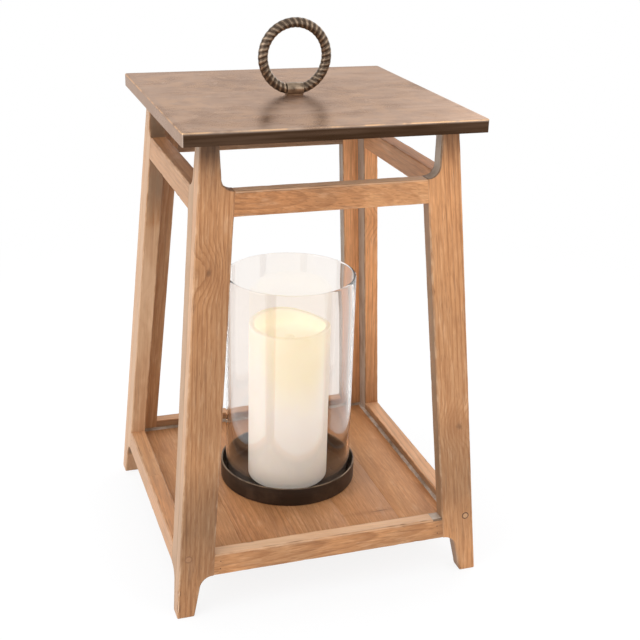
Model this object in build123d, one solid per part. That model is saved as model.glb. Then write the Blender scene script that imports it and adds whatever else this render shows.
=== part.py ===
"""Splayed wooden lantern with a metal-clad top, a carrying ring, a glass and an LED candle.

Sizes are in millimetres.  The lantern stands on z = 0 with its middle on the z axis, its front
faces -Y and its right side is +X.  The four outer faces lean inwards, so most frame pieces are
prisms drawn on one of those leaning faces and extruded level into the frame.
"""

import os
from math import sqrt

from build123d import *

# Leaning frame
FOOT_SPREAD = 279.0  # across the outer faces at the floor
HEAD_SPREAD = 215.0  # across the outer faces under the top
LEG_HEIGHT = 405.5  # floor to the underside of the top
FACE_BOARD = 12.5  # thickness of the front and rear boards
SIDE_BOARD = 14.5  # thickness of the left and right boards
LEG_WIDTH = 30.0  # width of a leg on either face, between the rails
LEG_NECK = 18.4  # width of a leg at the end of its sawn arc
LEG_TIP = 15.0  # width of a leg at the floor and under the top

# Rails and their tenons
LOWER_RAIL_Z = 36.5
LOWER_RAIL_HEIGHT = 19.0
UPPER_RAIL_DROP = 40.0  # top of the upper rail below the head of the legs
UPPER_RAIL_HEIGHT = 20.0
TENON_LENGTH = 11.0
TENON_THICKNESS = 4.5
TENON_INSET = 2.5  # from the outer face
TENON_SHOULDER = 4.0  # above and below the tenon
TENON_ROOT = 2.0  # length of the tenon inside its own rail
MORTISE_CLEARANCE = 0.1
MORTISE_END = 1.0

# Floor boards in their grooves
GROOVE_LIFT = 1.5  # groove above the underside of the lower rail
GROOVE_DEPTH = 4.6
GROOVE_CLEARANCE = 0.3
FLOOR_THICKNESS = 8.0
FLOOR_TONGUE = 3.6
FLOOR_BOARDS = 5
FLOOR_SEAM = 0.5
FLOOR_EDGE_GAP = 0.4  # between the floor and the inner faces of the frame

# Leg screws under wooden plugs
PLUG_Z = 55.2
PLUG_DIAMETER = 6.6
PLUG_LENGTH = 5.0
WOOD_SCREW_DIAMETER = 4.0
WOOD_SCREW_HEAD = 6.2
WOOD_SCREW_HEAD_HEIGHT = 2.0
LEG_SCREW_GRIP = 12.0  # length in the side board
SCREW_CLEARANCE = 0.05

# Top: wooden board under a folded metal sheet
TOP_SPREAD = 250.0
TOP_THICKNESS = 11.0
SHEET_THICKNESS = 1.0
SHEET_CORNER_RADIUS = 1.6
SHEET_EDGE_RADIUS = 0.7
TOP_SCREW_GRIP = 24.0  # length in the leg

# Carrying ring and its eye
RING_RADIUS = 28.2  # to the middle of the rod
RING_ROD_DIAMETER = 8.6
RING_PIN_DIAMETER = 7.0
RING_PIN_ROOT = 2.5  # length of the pin inside each end of the rod
EYE_DIAMETER = 10.4
EYE_LENGTH = 14.6
EYE_SADDLE_WIDTH = 6.0
EYE_RUNNING_GAP = 0.08  # between the pin and the eye's bore
EYE_END_GAP = 0.4
STUD_DIAMETER = 6.0
STUD_CLEARANCE = 0.2
STUD_END = 2.0  # below the nut
WASHER_DIAMETER = 18.0
WASHER_THICKNESS = 1.5
NUT_WIDTH = 10.0  # across its flats
NUT_HEIGHT = 5.0

# Pan under the candle
PAN_DIAMETER = 129.0
PAN_HEIGHT = 18.4
PAN_WALL = 1.5
PAN_FLOOR = 1.2
PAN_CORNER_RADIUS = 1.8
PAN_SCREW_DIAMETER = 3.5
PAN_SCREW_HEAD = 8.0
PAN_SCREW_HEAD_HEIGHT = 1.8
PAN_SCREW_GRIP = 6.0

# Glass
GLASS_DIAMETER = 120.0
GLASS_HEIGHT = 206.0
GLASS_WALL = 2.6
GLASS_RIM_RADIUS = 1.1

# Candle
CANDLE_DIAMETER = 76.2
CANDLE_HEIGHT = 157.0  # to the level part of its rim
CANDLE_LIP = 1.8  # height of the raised lip above the level rim
CANDLE_LIP_ANGLE = 112.0  # side of the lip, from +X towards +Y
CANDLE_WALL = 5.0
CANDLE_WELL_DEPTH = 20.0
CANDLE_WELL_RADIUS = 7.0
CANDLE_FOOT_RADIUS = 2.5
CANDLE_BORE_DIAMETER = 60.0
CANDLE_BORE_HEIGHT = 100.0
INSERT_CLEARANCE = 0.3
INSERT_RECESS = 3.2  # underside of the insert above the candle's foot
INSERT_BASE = 5.0
INSERT_WALL = 1.8
LAMP_DIAMETER = 12.0
LAMP_FLANGE = 24.0
LAMP_FLANGE_HEIGHT = 2.0
LAMP_HEIGHT = 8.0  # above the floor of the well
LAMP_CLEARANCE = 0.2

# Battery bay and switch in the underside of the insert
BATTERY_DIAMETER = 14.2
BATTERY_LENGTH = 50.2
BATTERY_BUTTON_DIAMETER = 5.4
BATTERY_BUTTON_HEIGHT = 1.0
BATTERY_SPACING = 14.8
BATTERY_GAP = 0.4
BAY_Y = 9.0
DOOR_THICKNESS = 2.0
DOOR_LEDGE = 2.0
DOOR_GAP = 0.25
SWITCH_Y = -14.0
SWITCH_LENGTH = 5.0
SWITCH_WIDTH = 4.0
SWITCH_HEIGHT = 4.0
SWITCH_PROUD = 1.2
SWITCH_TRAVEL = 3.0
SWITCH_GAP = 0.3

# Places that follow from the sizes above
LOWER_RAIL_TOP = LOWER_RAIL_Z + LOWER_RAIL_HEIGHT
UPPER_RAIL_TOP = LEG_HEIGHT - UPPER_RAIL_DROP
UPPER_RAIL_Z = UPPER_RAIL_TOP - UPPER_RAIL_HEIGHT
FLOOR_Z = LOWER_RAIL_Z + GROOVE_LIFT
FLOOR_TOP = FLOOR_Z + FLOOR_THICKNESS
PAN_TOP = FLOOR_TOP + PAN_FLOOR
BOARD_TOP = LEG_HEIGHT + TOP_THICKNESS - SHEET_THICKNESS
SHEET_TOP = LEG_HEIGHT + TOP_THICKNESS
PIVOT_Z = SHEET_TOP + EYE_DIAMETER / 2
PIN_HALF = EYE_LENGTH / 2 + EYE_END_GAP
RING_Z = PIVOT_Z + sqrt(RING_RADIUS**2 - PIN_HALF**2)
RIM_Z = PAN_TOP + CANDLE_HEIGHT
WELL_Z = RIM_Z - CANDLE_WELL_DEPTH
INSERT_Z = PAN_TOP + INSERT_RECESS
INSERT_TOP = PAN_TOP + CANDLE_BORE_HEIGHT

INWARD_FROM_FRONT = Vector(0, 1, 0)
INWARD_FROM_LEFT = Vector(1, 0, 0)


def half(z):
    """Half the spread of the leaning outer faces at a height."""
    return (FOOT_SPREAD + (HEAD_SPREAD - FOOT_SPREAD) * z / LEG_HEIGHT) / 2


def on_front(across, z):
    """Point on the front face, measured across from its left edge."""
    return Vector(-half(z) + across, -half(z), z)


def on_left(across, z):
    """Point on the left face, measured across from its front edge."""
    return Vector(-half(z), -half(z) + across, z)


def cylinder_z(diameter, bottom, top):
    """Upright cylinder between two heights."""
    return Pos(0, 0, bottom) * Cylinder(diameter / 2, top - bottom, align=(Align.CENTER, Align.CENTER, Align.MIN))


def cylinder_y(diameter, front, rear):
    """Cylinder along Y between two depths."""
    return Pos(0, rear, 0) * Rot(90, 0, 0) * cylinder_z(diameter, 0, rear - front)


def box_z(length, width, bottom, top):
    """Upright box between two heights."""
    return Pos(0, 0, bottom) * Box(length, width, top - bottom, align=(Align.CENTER, Align.CENTER, Align.MIN))


def slab(corners, place, inward, inset, thickness):
    """Prism drawn on a leaning face, set in from it and extruded level."""
    points = [place(across, z) + inward * inset for across, z in corners]
    return extrude(make_face(Polyline(*points, close=True)), amount=thickness, dir=inward)


def leg_blank(place, inward, start, thickness):
    """Leg board between its start line and the sawn edge with an arc at either rail."""
    radius = LEG_WIDTH - LEG_NECK
    bend = radius * (1 - sqrt(0.5))
    low_arc = LOWER_RAIL_Z - radius
    high_arc = UPPER_RAIL_TOP + radius
    outline = [
        Line(place(start, 0), place(LEG_TIP, 0)),
        Line(place(LEG_TIP, 0), place(LEG_NECK, low_arc)),
        ThreePointArc(
            place(LEG_NECK, low_arc),
            place(LEG_NECK + bend, LOWER_RAIL_Z - bend),
            place(LEG_WIDTH, LOWER_RAIL_Z),
        ),
        Line(place(LEG_WIDTH, LOWER_RAIL_Z), place(LEG_WIDTH, UPPER_RAIL_TOP)),
        ThreePointArc(
            place(LEG_WIDTH, UPPER_RAIL_TOP),
            place(LEG_NECK + bend, UPPER_RAIL_TOP + bend),
            place(LEG_NECK, high_arc),
        ),
        Line(place(LEG_NECK, high_arc), place(LEG_TIP, LEG_HEIGHT)),
        Line(place(LEG_TIP, LEG_HEIGHT), place(start, LEG_HEIGHT)),
        Line(place(start, LEG_HEIGHT), place(start, 0)),
    ]
    return extrude(make_face(outline), amount=thickness, dir=inward)


def mortise(place, inward, rail_z, rail_top):
    """Pocket in a leg for the tenon of one rail."""
    low = rail_z + TENON_SHOULDER - MORTISE_CLEARANCE
    high = rail_top - TENON_SHOULDER + MORTISE_CLEARANCE
    deep = LEG_WIDTH - TENON_LENGTH - MORTISE_END
    mouth = LEG_WIDTH + MORTISE_END
    corners = [(deep, low), (mouth, low), (mouth, high), (deep, high)]
    inset = TENON_INSET - MORTISE_CLEARANCE
    return slab(corners, place, inward, inset, TENON_THICKNESS + 2 * MORTISE_CLEARANCE)


def rail_mortises(place, inward):
    """Pockets for the lower and the upper rail."""
    lower = mortise(place, inward, LOWER_RAIL_Z, LOWER_RAIL_TOP)
    upper = mortise(place, inward, UPPER_RAIL_Z, UPPER_RAIL_TOP)
    return lower + upper


def leg_screw_place():
    """Where the screw through the front board of the front left leg leaves its outer face."""
    return on_front(SIDE_BOARD / 2, PLUG_Z)


def leg_screw_bore():
    """Plug hole and screw hole through both boards of the front left leg."""
    seat = PLUG_LENGTH
    plug_hole = cylinder_y(PLUG_DIAMETER, -PLUG_LENGTH, seat)
    head_hole = cylinder_y(WOOD_SCREW_HEAD + 2 * SCREW_CLEARANCE, seat, seat + WOOD_SCREW_HEAD_HEIGHT)
    shank_hole = cylinder_y(WOOD_SCREW_DIAMETER + 2 * SCREW_CLEARANCE, seat, FACE_BOARD + LEG_SCREW_GRIP)
    return Pos(leg_screw_place()) * (plug_hole + head_hole + shank_hole)


def leg_screw():
    """Screw that joins the two boards of the front left leg."""
    head = cylinder_y(WOOD_SCREW_HEAD, PLUG_LENGTH, PLUG_LENGTH + WOOD_SCREW_HEAD_HEIGHT)
    shank = cylinder_y(WOOD_SCREW_DIAMETER, PLUG_LENGTH, FACE_BOARD + LEG_SCREW_GRIP)
    return Pos(leg_screw_place()) * (head + shank)


def leg_plug():
    """Wooden plug over the leg screw, cut flush with the leaning face."""
    rod = Pos(leg_screw_place()) * cylinder_y(PLUG_DIAMETER, -PLUG_LENGTH, PLUG_LENGTH)
    return rod & leg_blank(on_front, INWARD_FROM_FRONT, 0, FACE_BOARD)


def top_screw_place():
    """Where the screw into the front left leg leaves the top board."""
    head_half = half(LEG_HEIGHT)
    return Pos(-head_half + LEG_TIP / 2, -head_half + FACE_BOARD / 2, 0)


def top_screw(clearance=0.0):
    """Countersunk screw through the top board into the front left leg, or its hole."""
    sink = (WOOD_SCREW_HEAD - WOOD_SCREW_DIAMETER) / 2
    shank = cylinder_z(WOOD_SCREW_DIAMETER + 2 * clearance, LEG_HEIGHT - TOP_SCREW_GRIP - clearance, BOARD_TOP)
    cone = Cone(
        WOOD_SCREW_DIAMETER / 2 + clearance,
        WOOD_SCREW_HEAD / 2 + clearance,
        sink,
        align=(Align.CENTER, Align.CENTER, Align.MAX),
    )
    return top_screw_place() * (shank + Pos(0, 0, BOARD_TOP) * cone)


def leg_face_board():
    """Front board of the front left leg."""
    board = leg_blank(on_front, INWARD_FROM_FRONT, 0, FACE_BOARD)
    board -= rail_mortises(on_front, INWARD_FROM_FRONT)
    board -= leg_screw_bore()
    return board - top_screw(SCREW_CLEARANCE)


def leg_side_board():
    """Side board of the front left leg, glued behind the front board."""
    board = leg_blank(on_left, INWARD_FROM_LEFT, FACE_BOARD, SIDE_BOARD)
    board -= rail_mortises(on_left, INWARD_FROM_LEFT)
    return board - leg_screw_bore()


def rail(bottom, top, thickness):
    """Front rail with a tenon at either end, its ends cut to the lean of the legs."""

    def right(z, beyond):
        return 2 * half(z) - LEG_WIDTH + beyond

    corners = [(LEG_WIDTH, bottom), (right(bottom, 0), bottom), (right(top, 0), top), (LEG_WIDTH, top)]
    solid = slab(corners, on_front, INWARD_FROM_FRONT, 0, thickness)
    low = bottom + TENON_SHOULDER
    high = top - TENON_SHOULDER
    inner = LEG_WIDTH + TENON_ROOT
    outer = LEG_WIDTH - TENON_LENGTH
    left_tenon = [(outer, low), (inner, low), (inner, high), (outer, high)]
    right_tenon = [
        (right(low, -TENON_ROOT), low),
        (right(low, TENON_LENGTH), low),
        (right(high, TENON_LENGTH), high),
        (right(high, -TENON_ROOT), high),
    ]
    for tenon in (left_tenon, right_tenon):
        solid += slab(tenon, on_front, INWARD_FROM_FRONT, TENON_INSET, TENON_THICKNESS)
    return solid


def lower_rail(thickness):
    """Front lower rail, grooved on its inner face for the floor boards."""
    bottom = FLOOR_Z
    top = FLOOR_TOP + GROOVE_CLEARANCE
    corners = [(0, bottom), (2 * half(bottom), bottom), (2 * half(top), top), (0, top)]
    groove = slab(corners, on_front, INWARD_FROM_FRONT, thickness - GROOVE_DEPTH, 2 * GROOVE_DEPTH)
    return rail(LOWER_RAIL_Z, LOWER_RAIL_TOP, thickness) - groove


def upper_rail(thickness):
    """Front upper rail."""
    return rail(UPPER_RAIL_Z, UPPER_RAIL_TOP, thickness)


def floor_outline():
    """Outline of the whole floor, notched at the legs and tongued into the four rails."""
    inside = half(FLOOR_TOP)
    length = inside - FACE_BOARD - FLOOR_EDGE_GAP
    width = inside - SIDE_BOARD - FLOOR_EDGE_GAP
    between_legs = inside - LEG_WIDTH - FLOOR_EDGE_GAP
    outline = Rectangle(2 * width, 2 * length)
    outline += Rectangle(2 * between_legs, 2 * (length + FLOOR_TONGUE))
    outline += Rectangle(2 * (width + FLOOR_TONGUE), 2 * between_legs)
    return outline


def floor_boards():
    """Floor boards from left to right; the middle one takes the screw of the pan."""
    outline = floor_outline()
    size = outline.bounding_box().size
    pitch = size.X / FLOOR_BOARDS
    boards = []
    for index in range(FLOOR_BOARDS):
        middle = (index - (FLOOR_BOARDS - 1) / 2) * pitch
        strip = Pos(middle, 0) * Rectangle(pitch - FLOOR_SEAM, size.Y)
        board = Pos(0, 0, FLOOR_Z) * extrude(outline & strip, amount=FLOOR_THICKNESS)
        boards.append(board - pan_screw(SCREW_CLEARANCE))
    return boards


def pan_screw(clearance=0.0):
    """Screw through the pan into the floor, or its hole."""
    bottom = FLOOR_TOP - PAN_SCREW_GRIP - clearance
    shank = cylinder_z(PAN_SCREW_DIAMETER + 2 * clearance, bottom, PAN_TOP)
    head = cylinder_z(PAN_SCREW_HEAD, PAN_TOP, PAN_TOP + PAN_SCREW_HEAD_HEIGHT)
    return shank + head


def candle_pan():
    """Shallow round metal pan."""
    rim = FLOOR_TOP + PAN_HEIGHT
    body = cylinder_z(PAN_DIAMETER, FLOOR_TOP, rim)
    body = fillet(body.edges().group_by(Axis.Z)[0], PAN_CORNER_RADIUS)
    hollow = cylinder_z(PAN_DIAMETER - 2 * PAN_WALL, PAN_TOP, rim)
    hollow = fillet(hollow.edges().group_by(Axis.Z)[0], PAN_CORNER_RADIUS)
    pan = body - hollow
    pan = fillet(pan.edges().group_by(Axis.Z)[-1], PAN_WALL * 0.4)
    return pan - pan_screw(SCREW_CLEARANCE)


def top_board():
    """Wooden board under the metal sheet."""
    spread = TOP_SPREAD - 2 * SHEET_THICKNESS
    board = box_z(spread, spread, LEG_HEIGHT, BOARD_TOP)
    board -= cylinder_z(STUD_DIAMETER + 2 * STUD_CLEARANCE, LEG_HEIGHT, BOARD_TOP)
    return board - at_each_leg(top_screw(SCREW_CLEARANCE))


def top_sheet():
    """Metal sheet folded down over the four edges of the top board."""
    spread = TOP_SPREAD - 2 * SHEET_THICKNESS
    sheet = box_z(TOP_SPREAD, TOP_SPREAD, LEG_HEIGHT, SHEET_TOP)
    sheet = fillet(sheet.edges().filter_by(Axis.Z), SHEET_CORNER_RADIUS)
    sheet = fillet(sheet.edges().group_by(Axis.Z)[-1], SHEET_EDGE_RADIUS)
    sheet -= box_z(spread, spread, LEG_HEIGHT, BOARD_TOP)
    return sheet - cylinder_z(STUD_DIAMETER + 2 * STUD_CLEARANCE, BOARD_TOP, SHEET_TOP)


def handle_eye():
    """Short barrel for the ring, on a saddle with a stud through the top."""
    saddle = box_z(EYE_LENGTH, EYE_SADDLE_WIDTH, SHEET_TOP, PIVOT_Z)
    barrel = Pos(0, 0, PIVOT_Z) * Rot(0, 90, 0) * Cylinder(EYE_DIAMETER / 2, EYE_LENGTH)
    bore = Pos(0, 0, PIVOT_Z) * Rot(0, 90, 0) * Cylinder(RING_PIN_DIAMETER / 2 + EYE_RUNNING_GAP, EYE_LENGTH)
    stud_end = LEG_HEIGHT - WASHER_THICKNESS - NUT_HEIGHT - STUD_END
    stud = cylinder_z(STUD_DIAMETER, stud_end, SHEET_TOP)
    return barrel + saddle + stud - bore


def handle_washer():
    """Washer on the underside of the top."""
    washer = cylinder_z(WASHER_DIAMETER, LEG_HEIGHT - WASHER_THICKNESS, LEG_HEIGHT)
    return washer - cylinder_z(STUD_DIAMETER + 2 * STUD_CLEARANCE, LEG_HEIGHT - WASHER_THICKNESS, LEG_HEIGHT)


def handle_nut():
    """Nut on the stud of the eye."""
    top = LEG_HEIGHT - WASHER_THICKNESS
    hexagon = RegularPolygon(NUT_WIDTH / 2, 6, major_radius=False)
    nut = Pos(0, 0, top - NUT_HEIGHT) * extrude(hexagon, amount=NUT_HEIGHT)
    return nut - cylinder_z(STUD_DIAMETER + 2 * SCREW_CLEARANCE, top - NUT_HEIGHT, top)


def handle_ring():
    """Round ring, closed by a plain pin that turns in the eye."""
    ring = Pos(0, 0, RING_Z) * Rot(90, 0, 0) * Torus(RING_RADIUS, RING_ROD_DIAMETER / 2)
    ring -= box_z(2 * PIN_HALF, 2 * RING_ROD_DIAMETER, RING_Z - 2 * RING_RADIUS, RING_Z)
    pin_length = 2 * (PIN_HALF + RING_PIN_ROOT)
    return ring + Pos(0, 0, PIVOT_Z) * Rot(0, 90, 0) * Cylinder(RING_PIN_DIAMETER / 2, pin_length)


def glass_cylinder():
    """Open glass cylinder that stands in the pan."""
    top = PAN_TOP + GLASS_HEIGHT
    glass = cylinder_z(GLASS_DIAMETER, PAN_TOP, top)
    glass -= cylinder_z(GLASS_DIAMETER - 2 * GLASS_WALL, PAN_TOP, top)
    return fillet(glass.edges().filter_by(GeomType.CIRCLE), GLASS_RIM_RADIUS)


def rim_cutter():
    """Solid above the candle's rim, which rises to a lip on one side."""
    reach = CANDLE_DIAMETER
    radius = CANDLE_DIAMETER / 2
    start = (0, RIM_Z)
    crest = (radius, RIM_Z + CANDLE_LIP)
    outline = [
        Line((-reach, RIM_Z), start),
        Spline(start, crest, tangents=[(1, 0), (1, 0)]),
        Line(crest, (reach, RIM_Z + CANDLE_LIP)),
        Line((reach, RIM_Z + CANDLE_LIP), (reach, RIM_Z + reach)),
        Line((reach, RIM_Z + reach), (-reach, RIM_Z + reach)),
        Line((-reach, RIM_Z + reach), (-reach, RIM_Z)),
    ]
    side = extrude(Plane.XZ * make_face(outline), amount=reach, both=True)
    return Rot(0, 0, CANDLE_LIP_ANGLE) * side


def candle_wax():
    """Wax body with a burnt-down well, a wavy rim and a bore for the insert."""
    top = RIM_Z + CANDLE_LIP
    body = cylinder_z(CANDLE_DIAMETER, PAN_TOP, top)
    body = fillet(body.edges().group_by(Axis.Z)[0], CANDLE_FOOT_RADIUS)
    well = cylinder_z(CANDLE_DIAMETER - 2 * CANDLE_WALL, WELL_Z, top)
    well = fillet(well.edges().group_by(Axis.Z)[0], CANDLE_WELL_RADIUS)
    body -= well
    body -= cylinder_z(CANDLE_BORE_DIAMETER, PAN_TOP, INSERT_TOP)
    body -= cylinder_z(LAMP_DIAMETER + 2 * LAMP_CLEARANCE, INSERT_TOP, WELL_Z)
    return body - rim_cutter()


def door_size():
    """Length and width of the battery door."""
    bay_length = BATTERY_SPACING + BATTERY_DIAMETER + 2 * BATTERY_GAP
    bay_width = BATTERY_DIAMETER + 2 * BATTERY_GAP
    return bay_length + 2 * DOOR_LEDGE, bay_width + 2 * DOOR_LEDGE


def battery_bay(wall=0.0):
    """Space for the batteries in the insert, or that space with its walls."""
    length, width = door_size()
    bay_top = INSERT_Z + DOOR_THICKNESS + BATTERY_LENGTH + 2 * BATTERY_GAP
    inside = 2 * (wall - DOOR_LEDGE)
    return Pos(0, BAY_Y, 0) * box_z(length + inside, width + inside, INSERT_Z, bay_top + wall)


def door_recess():
    """Recess for the battery door in the underside of the insert."""
    length, width = door_size()
    return Pos(0, BAY_Y, 0) * box_z(length + 2 * DOOR_GAP, width + 2 * DOOR_GAP, INSERT_Z, INSERT_Z + DOOR_THICKNESS)


def candle_insert():
    """Hollow plastic insert that carries the lamp, the batteries and the switch."""
    diameter = CANDLE_BORE_DIAMETER - 2 * INSERT_CLEARANCE
    shelf = INSERT_TOP - LAMP_FLANGE_HEIGHT
    insert = cylinder_z(diameter, INSERT_Z, shelf)
    insert -= cylinder_z(diameter - 2 * INSERT_WALL, INSERT_Z + INSERT_BASE, shelf - INSERT_WALL)
    insert -= cylinder_z(LAMP_DIAMETER, shelf - INSERT_WALL, shelf)
    insert += battery_bay(INSERT_WALL)
    slot_length = SWITCH_LENGTH + SWITCH_TRAVEL + 2 * SWITCH_GAP
    slot_top = INSERT_Z - SWITCH_PROUD + SWITCH_HEIGHT + SWITCH_GAP
    slot = box_z(slot_length, SWITCH_WIDTH + 2 * SWITCH_GAP, INSERT_Z, slot_top)
    insert -= Pos(SWITCH_TRAVEL / 2, SWITCH_Y, 0) * slot
    return insert - battery_bay() - door_recess()


def battery_door():
    """Flat door over the batteries."""
    length, width = door_size()
    return Pos(0, BAY_Y, 0) * box_z(length, width, INSERT_Z, INSERT_Z + DOOR_THICKNESS)


def battery(side):
    """One upright battery with its contact button."""
    bottom = INSERT_Z + DOOR_THICKNESS + BATTERY_GAP
    can = cylinder_z(BATTERY_DIAMETER, bottom, bottom + BATTERY_LENGTH - BATTERY_BUTTON_HEIGHT)
    can += cylinder_z(BATTERY_BUTTON_DIAMETER, bottom, bottom + BATTERY_LENGTH)
    return Pos(side * BATTERY_SPACING / 2, BAY_Y, 0) * can


def candle_switch():
    """Slide switch in the underside of the insert, at its off end."""
    bottom = INSERT_Z - SWITCH_PROUD
    return Pos(0, SWITCH_Y, 0) * box_z(SWITCH_LENGTH, SWITCH_WIDTH, bottom, bottom + SWITCH_HEIGHT)


def led_lamp():
    """Round-nosed lamp on the insert, up through the floor of the well."""
    top = WELL_Z + LAMP_HEIGHT
    lamp = cylinder_z(LAMP_DIAMETER, INSERT_TOP - LAMP_FLANGE_HEIGHT, top)
    lamp = fillet(lamp.edges().group_by(Axis.Z)[-1], LAMP_DIAMETER * 0.42)
    return lamp + cylinder_z(LAMP_FLANGE, INSERT_TOP - LAMP_FLANGE_HEIGHT, INSERT_TOP)


def at_corner(solid, side, end):
    """Copy of a front left piece at another corner of the lantern."""
    if side == "right" and end == "rear":
        return Rot(0, 0, 180) * solid
    if side == "right":
        return mirror(solid, about=Plane.YZ)
    if end == "rear":
        return mirror(solid, about=Plane.XZ)
    return solid


def at_each_leg(solid):
    """A front left piece and its three copies in one compound."""
    copies = [at_corner(solid, side, end) for end in ("front", "rear") for side in ("left", "right")]
    return copies[0] + copies[1:]


def leg_nodes():
    """Boards, screws and plugs of the four legs."""
    pieces = {
        "leg": leg_face_board(),
        "leg_side": leg_side_board(),
        "leg_screw": leg_screw(),
        "leg_plug": leg_plug(),
        "top_screw": top_screw(),
    }
    nodes = {}
    for end in ("front", "rear"):
        for side in ("left", "right"):
            for name, solid in pieces.items():
                nodes[f"{name}_{end}_{side}"] = at_corner(solid, side, end)
    return nodes


def rail_nodes():
    """Lower and upper rails on the four sides."""
    turns = {"front": 0, "right": 90, "rear": 180, "left": 270}
    nodes = {}
    for side, turn in turns.items():
        thickness = FACE_BOARD if side in ("front", "rear") else SIDE_BOARD
        nodes[f"lower_rail_{side}"] = Rot(0, 0, turn) * lower_rail(thickness)
        nodes[f"upper_rail_{side}"] = Rot(0, 0, turn) * upper_rail(thickness)
    return nodes


def floor_nodes():
    """Floor boards by number, from the left."""
    return {f"floor_board_{index + 1}": board for index, board in enumerate(floor_boards())}


def top_nodes():
    """Top, ring and the parts that hold the ring."""
    return {
        "top_board": top_board(),
        "top_sheet": top_sheet(),
        "handle_eye": handle_eye(),
        "handle_washer": handle_washer(),
        "handle_nut": handle_nut(),
        "handle_ring": handle_ring(),
    }


def light_nodes():
    """Pan, glass and candle."""
    return {
        "candle_pan": candle_pan(),
        "pan_screw": pan_screw(),
        "glass_cylinder": glass_cylinder(),
        "candle_wax": candle_wax(),
        "candle_insert": candle_insert(),
        "led_lamp": led_lamp(),
        "battery_left": battery(-1),
        "battery_right": battery(1),
        "battery_door": battery_door(),
        "candle_switch": candle_switch(),
    }


def main():
    """Build every node and write one STEP file for each."""
    os.makedirs("parts", exist_ok=True)
    nodes = {**leg_nodes(), **rail_nodes(), **floor_nodes(), **top_nodes(), **light_nodes()}
    for name, solid in nodes.items():
        export_step(solid, os.path.join("parts", f"{name}.step"))
        print(f"{name}: {solid.volume / 1000:.2f} cm3")


main()
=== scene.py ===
"""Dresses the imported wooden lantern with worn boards, bronze, clear glass and glowing wax.

Sizes are in metres in the frame of the CAD model: the lantern stands on z = 0 with its middle on
the z axis, its front faces -Y and its right side is +X.
"""

import logging
import math
from collections.abc import Callable, Iterable, Sequence
from dataclasses import dataclass
from enum import Enum

import bmesh
import bpy
from bpy.types import ID, Material, Mesh, NodeSocket, NodeTree, Object
from mathutils import Matrix, Vector, noise


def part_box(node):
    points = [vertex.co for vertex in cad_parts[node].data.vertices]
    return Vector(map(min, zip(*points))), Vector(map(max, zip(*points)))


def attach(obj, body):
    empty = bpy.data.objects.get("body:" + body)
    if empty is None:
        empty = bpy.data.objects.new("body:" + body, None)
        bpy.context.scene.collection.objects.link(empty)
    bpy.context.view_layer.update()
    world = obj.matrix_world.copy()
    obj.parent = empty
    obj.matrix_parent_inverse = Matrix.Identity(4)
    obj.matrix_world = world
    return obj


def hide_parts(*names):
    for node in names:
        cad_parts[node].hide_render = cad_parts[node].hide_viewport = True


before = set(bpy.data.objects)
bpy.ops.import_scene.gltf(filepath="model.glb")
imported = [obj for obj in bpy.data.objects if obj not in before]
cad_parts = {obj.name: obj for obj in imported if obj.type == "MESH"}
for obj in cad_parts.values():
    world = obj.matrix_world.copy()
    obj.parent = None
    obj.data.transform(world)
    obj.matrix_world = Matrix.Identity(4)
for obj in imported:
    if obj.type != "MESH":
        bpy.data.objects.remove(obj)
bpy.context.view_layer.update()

log = logging.getLogger("lantern")

Colour = tuple[float, float, float]
Stops = tuple[tuple[float, float], ...]
Outline = list[tuple[float, ...]]
Places = list[tuple[Vector, Vector]]
Marks = dict[str, list[float] | list[Vector]]

MM = 0.001
TURN = 2 * math.pi
WELD = 1e-6
CREASE = 38.0
WHITE: Colour = (1.0, 1.0, 1.0)
SEEN_RAYS = ("Camera", "Glossy", "Transmission")
GRAIN, KNOT, TONE, SHADE, EDGE, STAIN = "grain", "knot", "tone", "shade", "edge", "stain"
CALM, RIDGE, FACING, RADIAL = "calm", "ridge", "facing", "radial"


class Body(Enum):
    """Bodies of the CAD model that pieces ride on."""

    FRAME = "frame"
    RING = "ring"
    GLASS = "glass"
    CANDLE = "candle"


class Spot(Enum):
    """A named part of the lantern."""

    @property
    def label(self) -> str:
        """The name as it stands in node names."""
        return self.name.lower()


class Corner(Spot):
    """Corners of the lantern, with the signs of their x and y."""

    FRONT_LEFT = (-1, -1)
    FRONT_RIGHT = (1, -1)
    REAR_LEFT = (-1, 1)
    REAR_RIGHT = (1, 1)


class Side(Spot):
    """Sides of the lantern, with their quarter turns from the front."""

    FRONT = 0
    RIGHT = 1
    REAR = 2
    LEFT = 3

    @property
    def turn(self) -> Matrix:
        """Turn from the front to this side."""
        return Matrix.Rotation(self.value * TURN / 4, 3, "Z")


# Shader and geometry node builders


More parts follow.
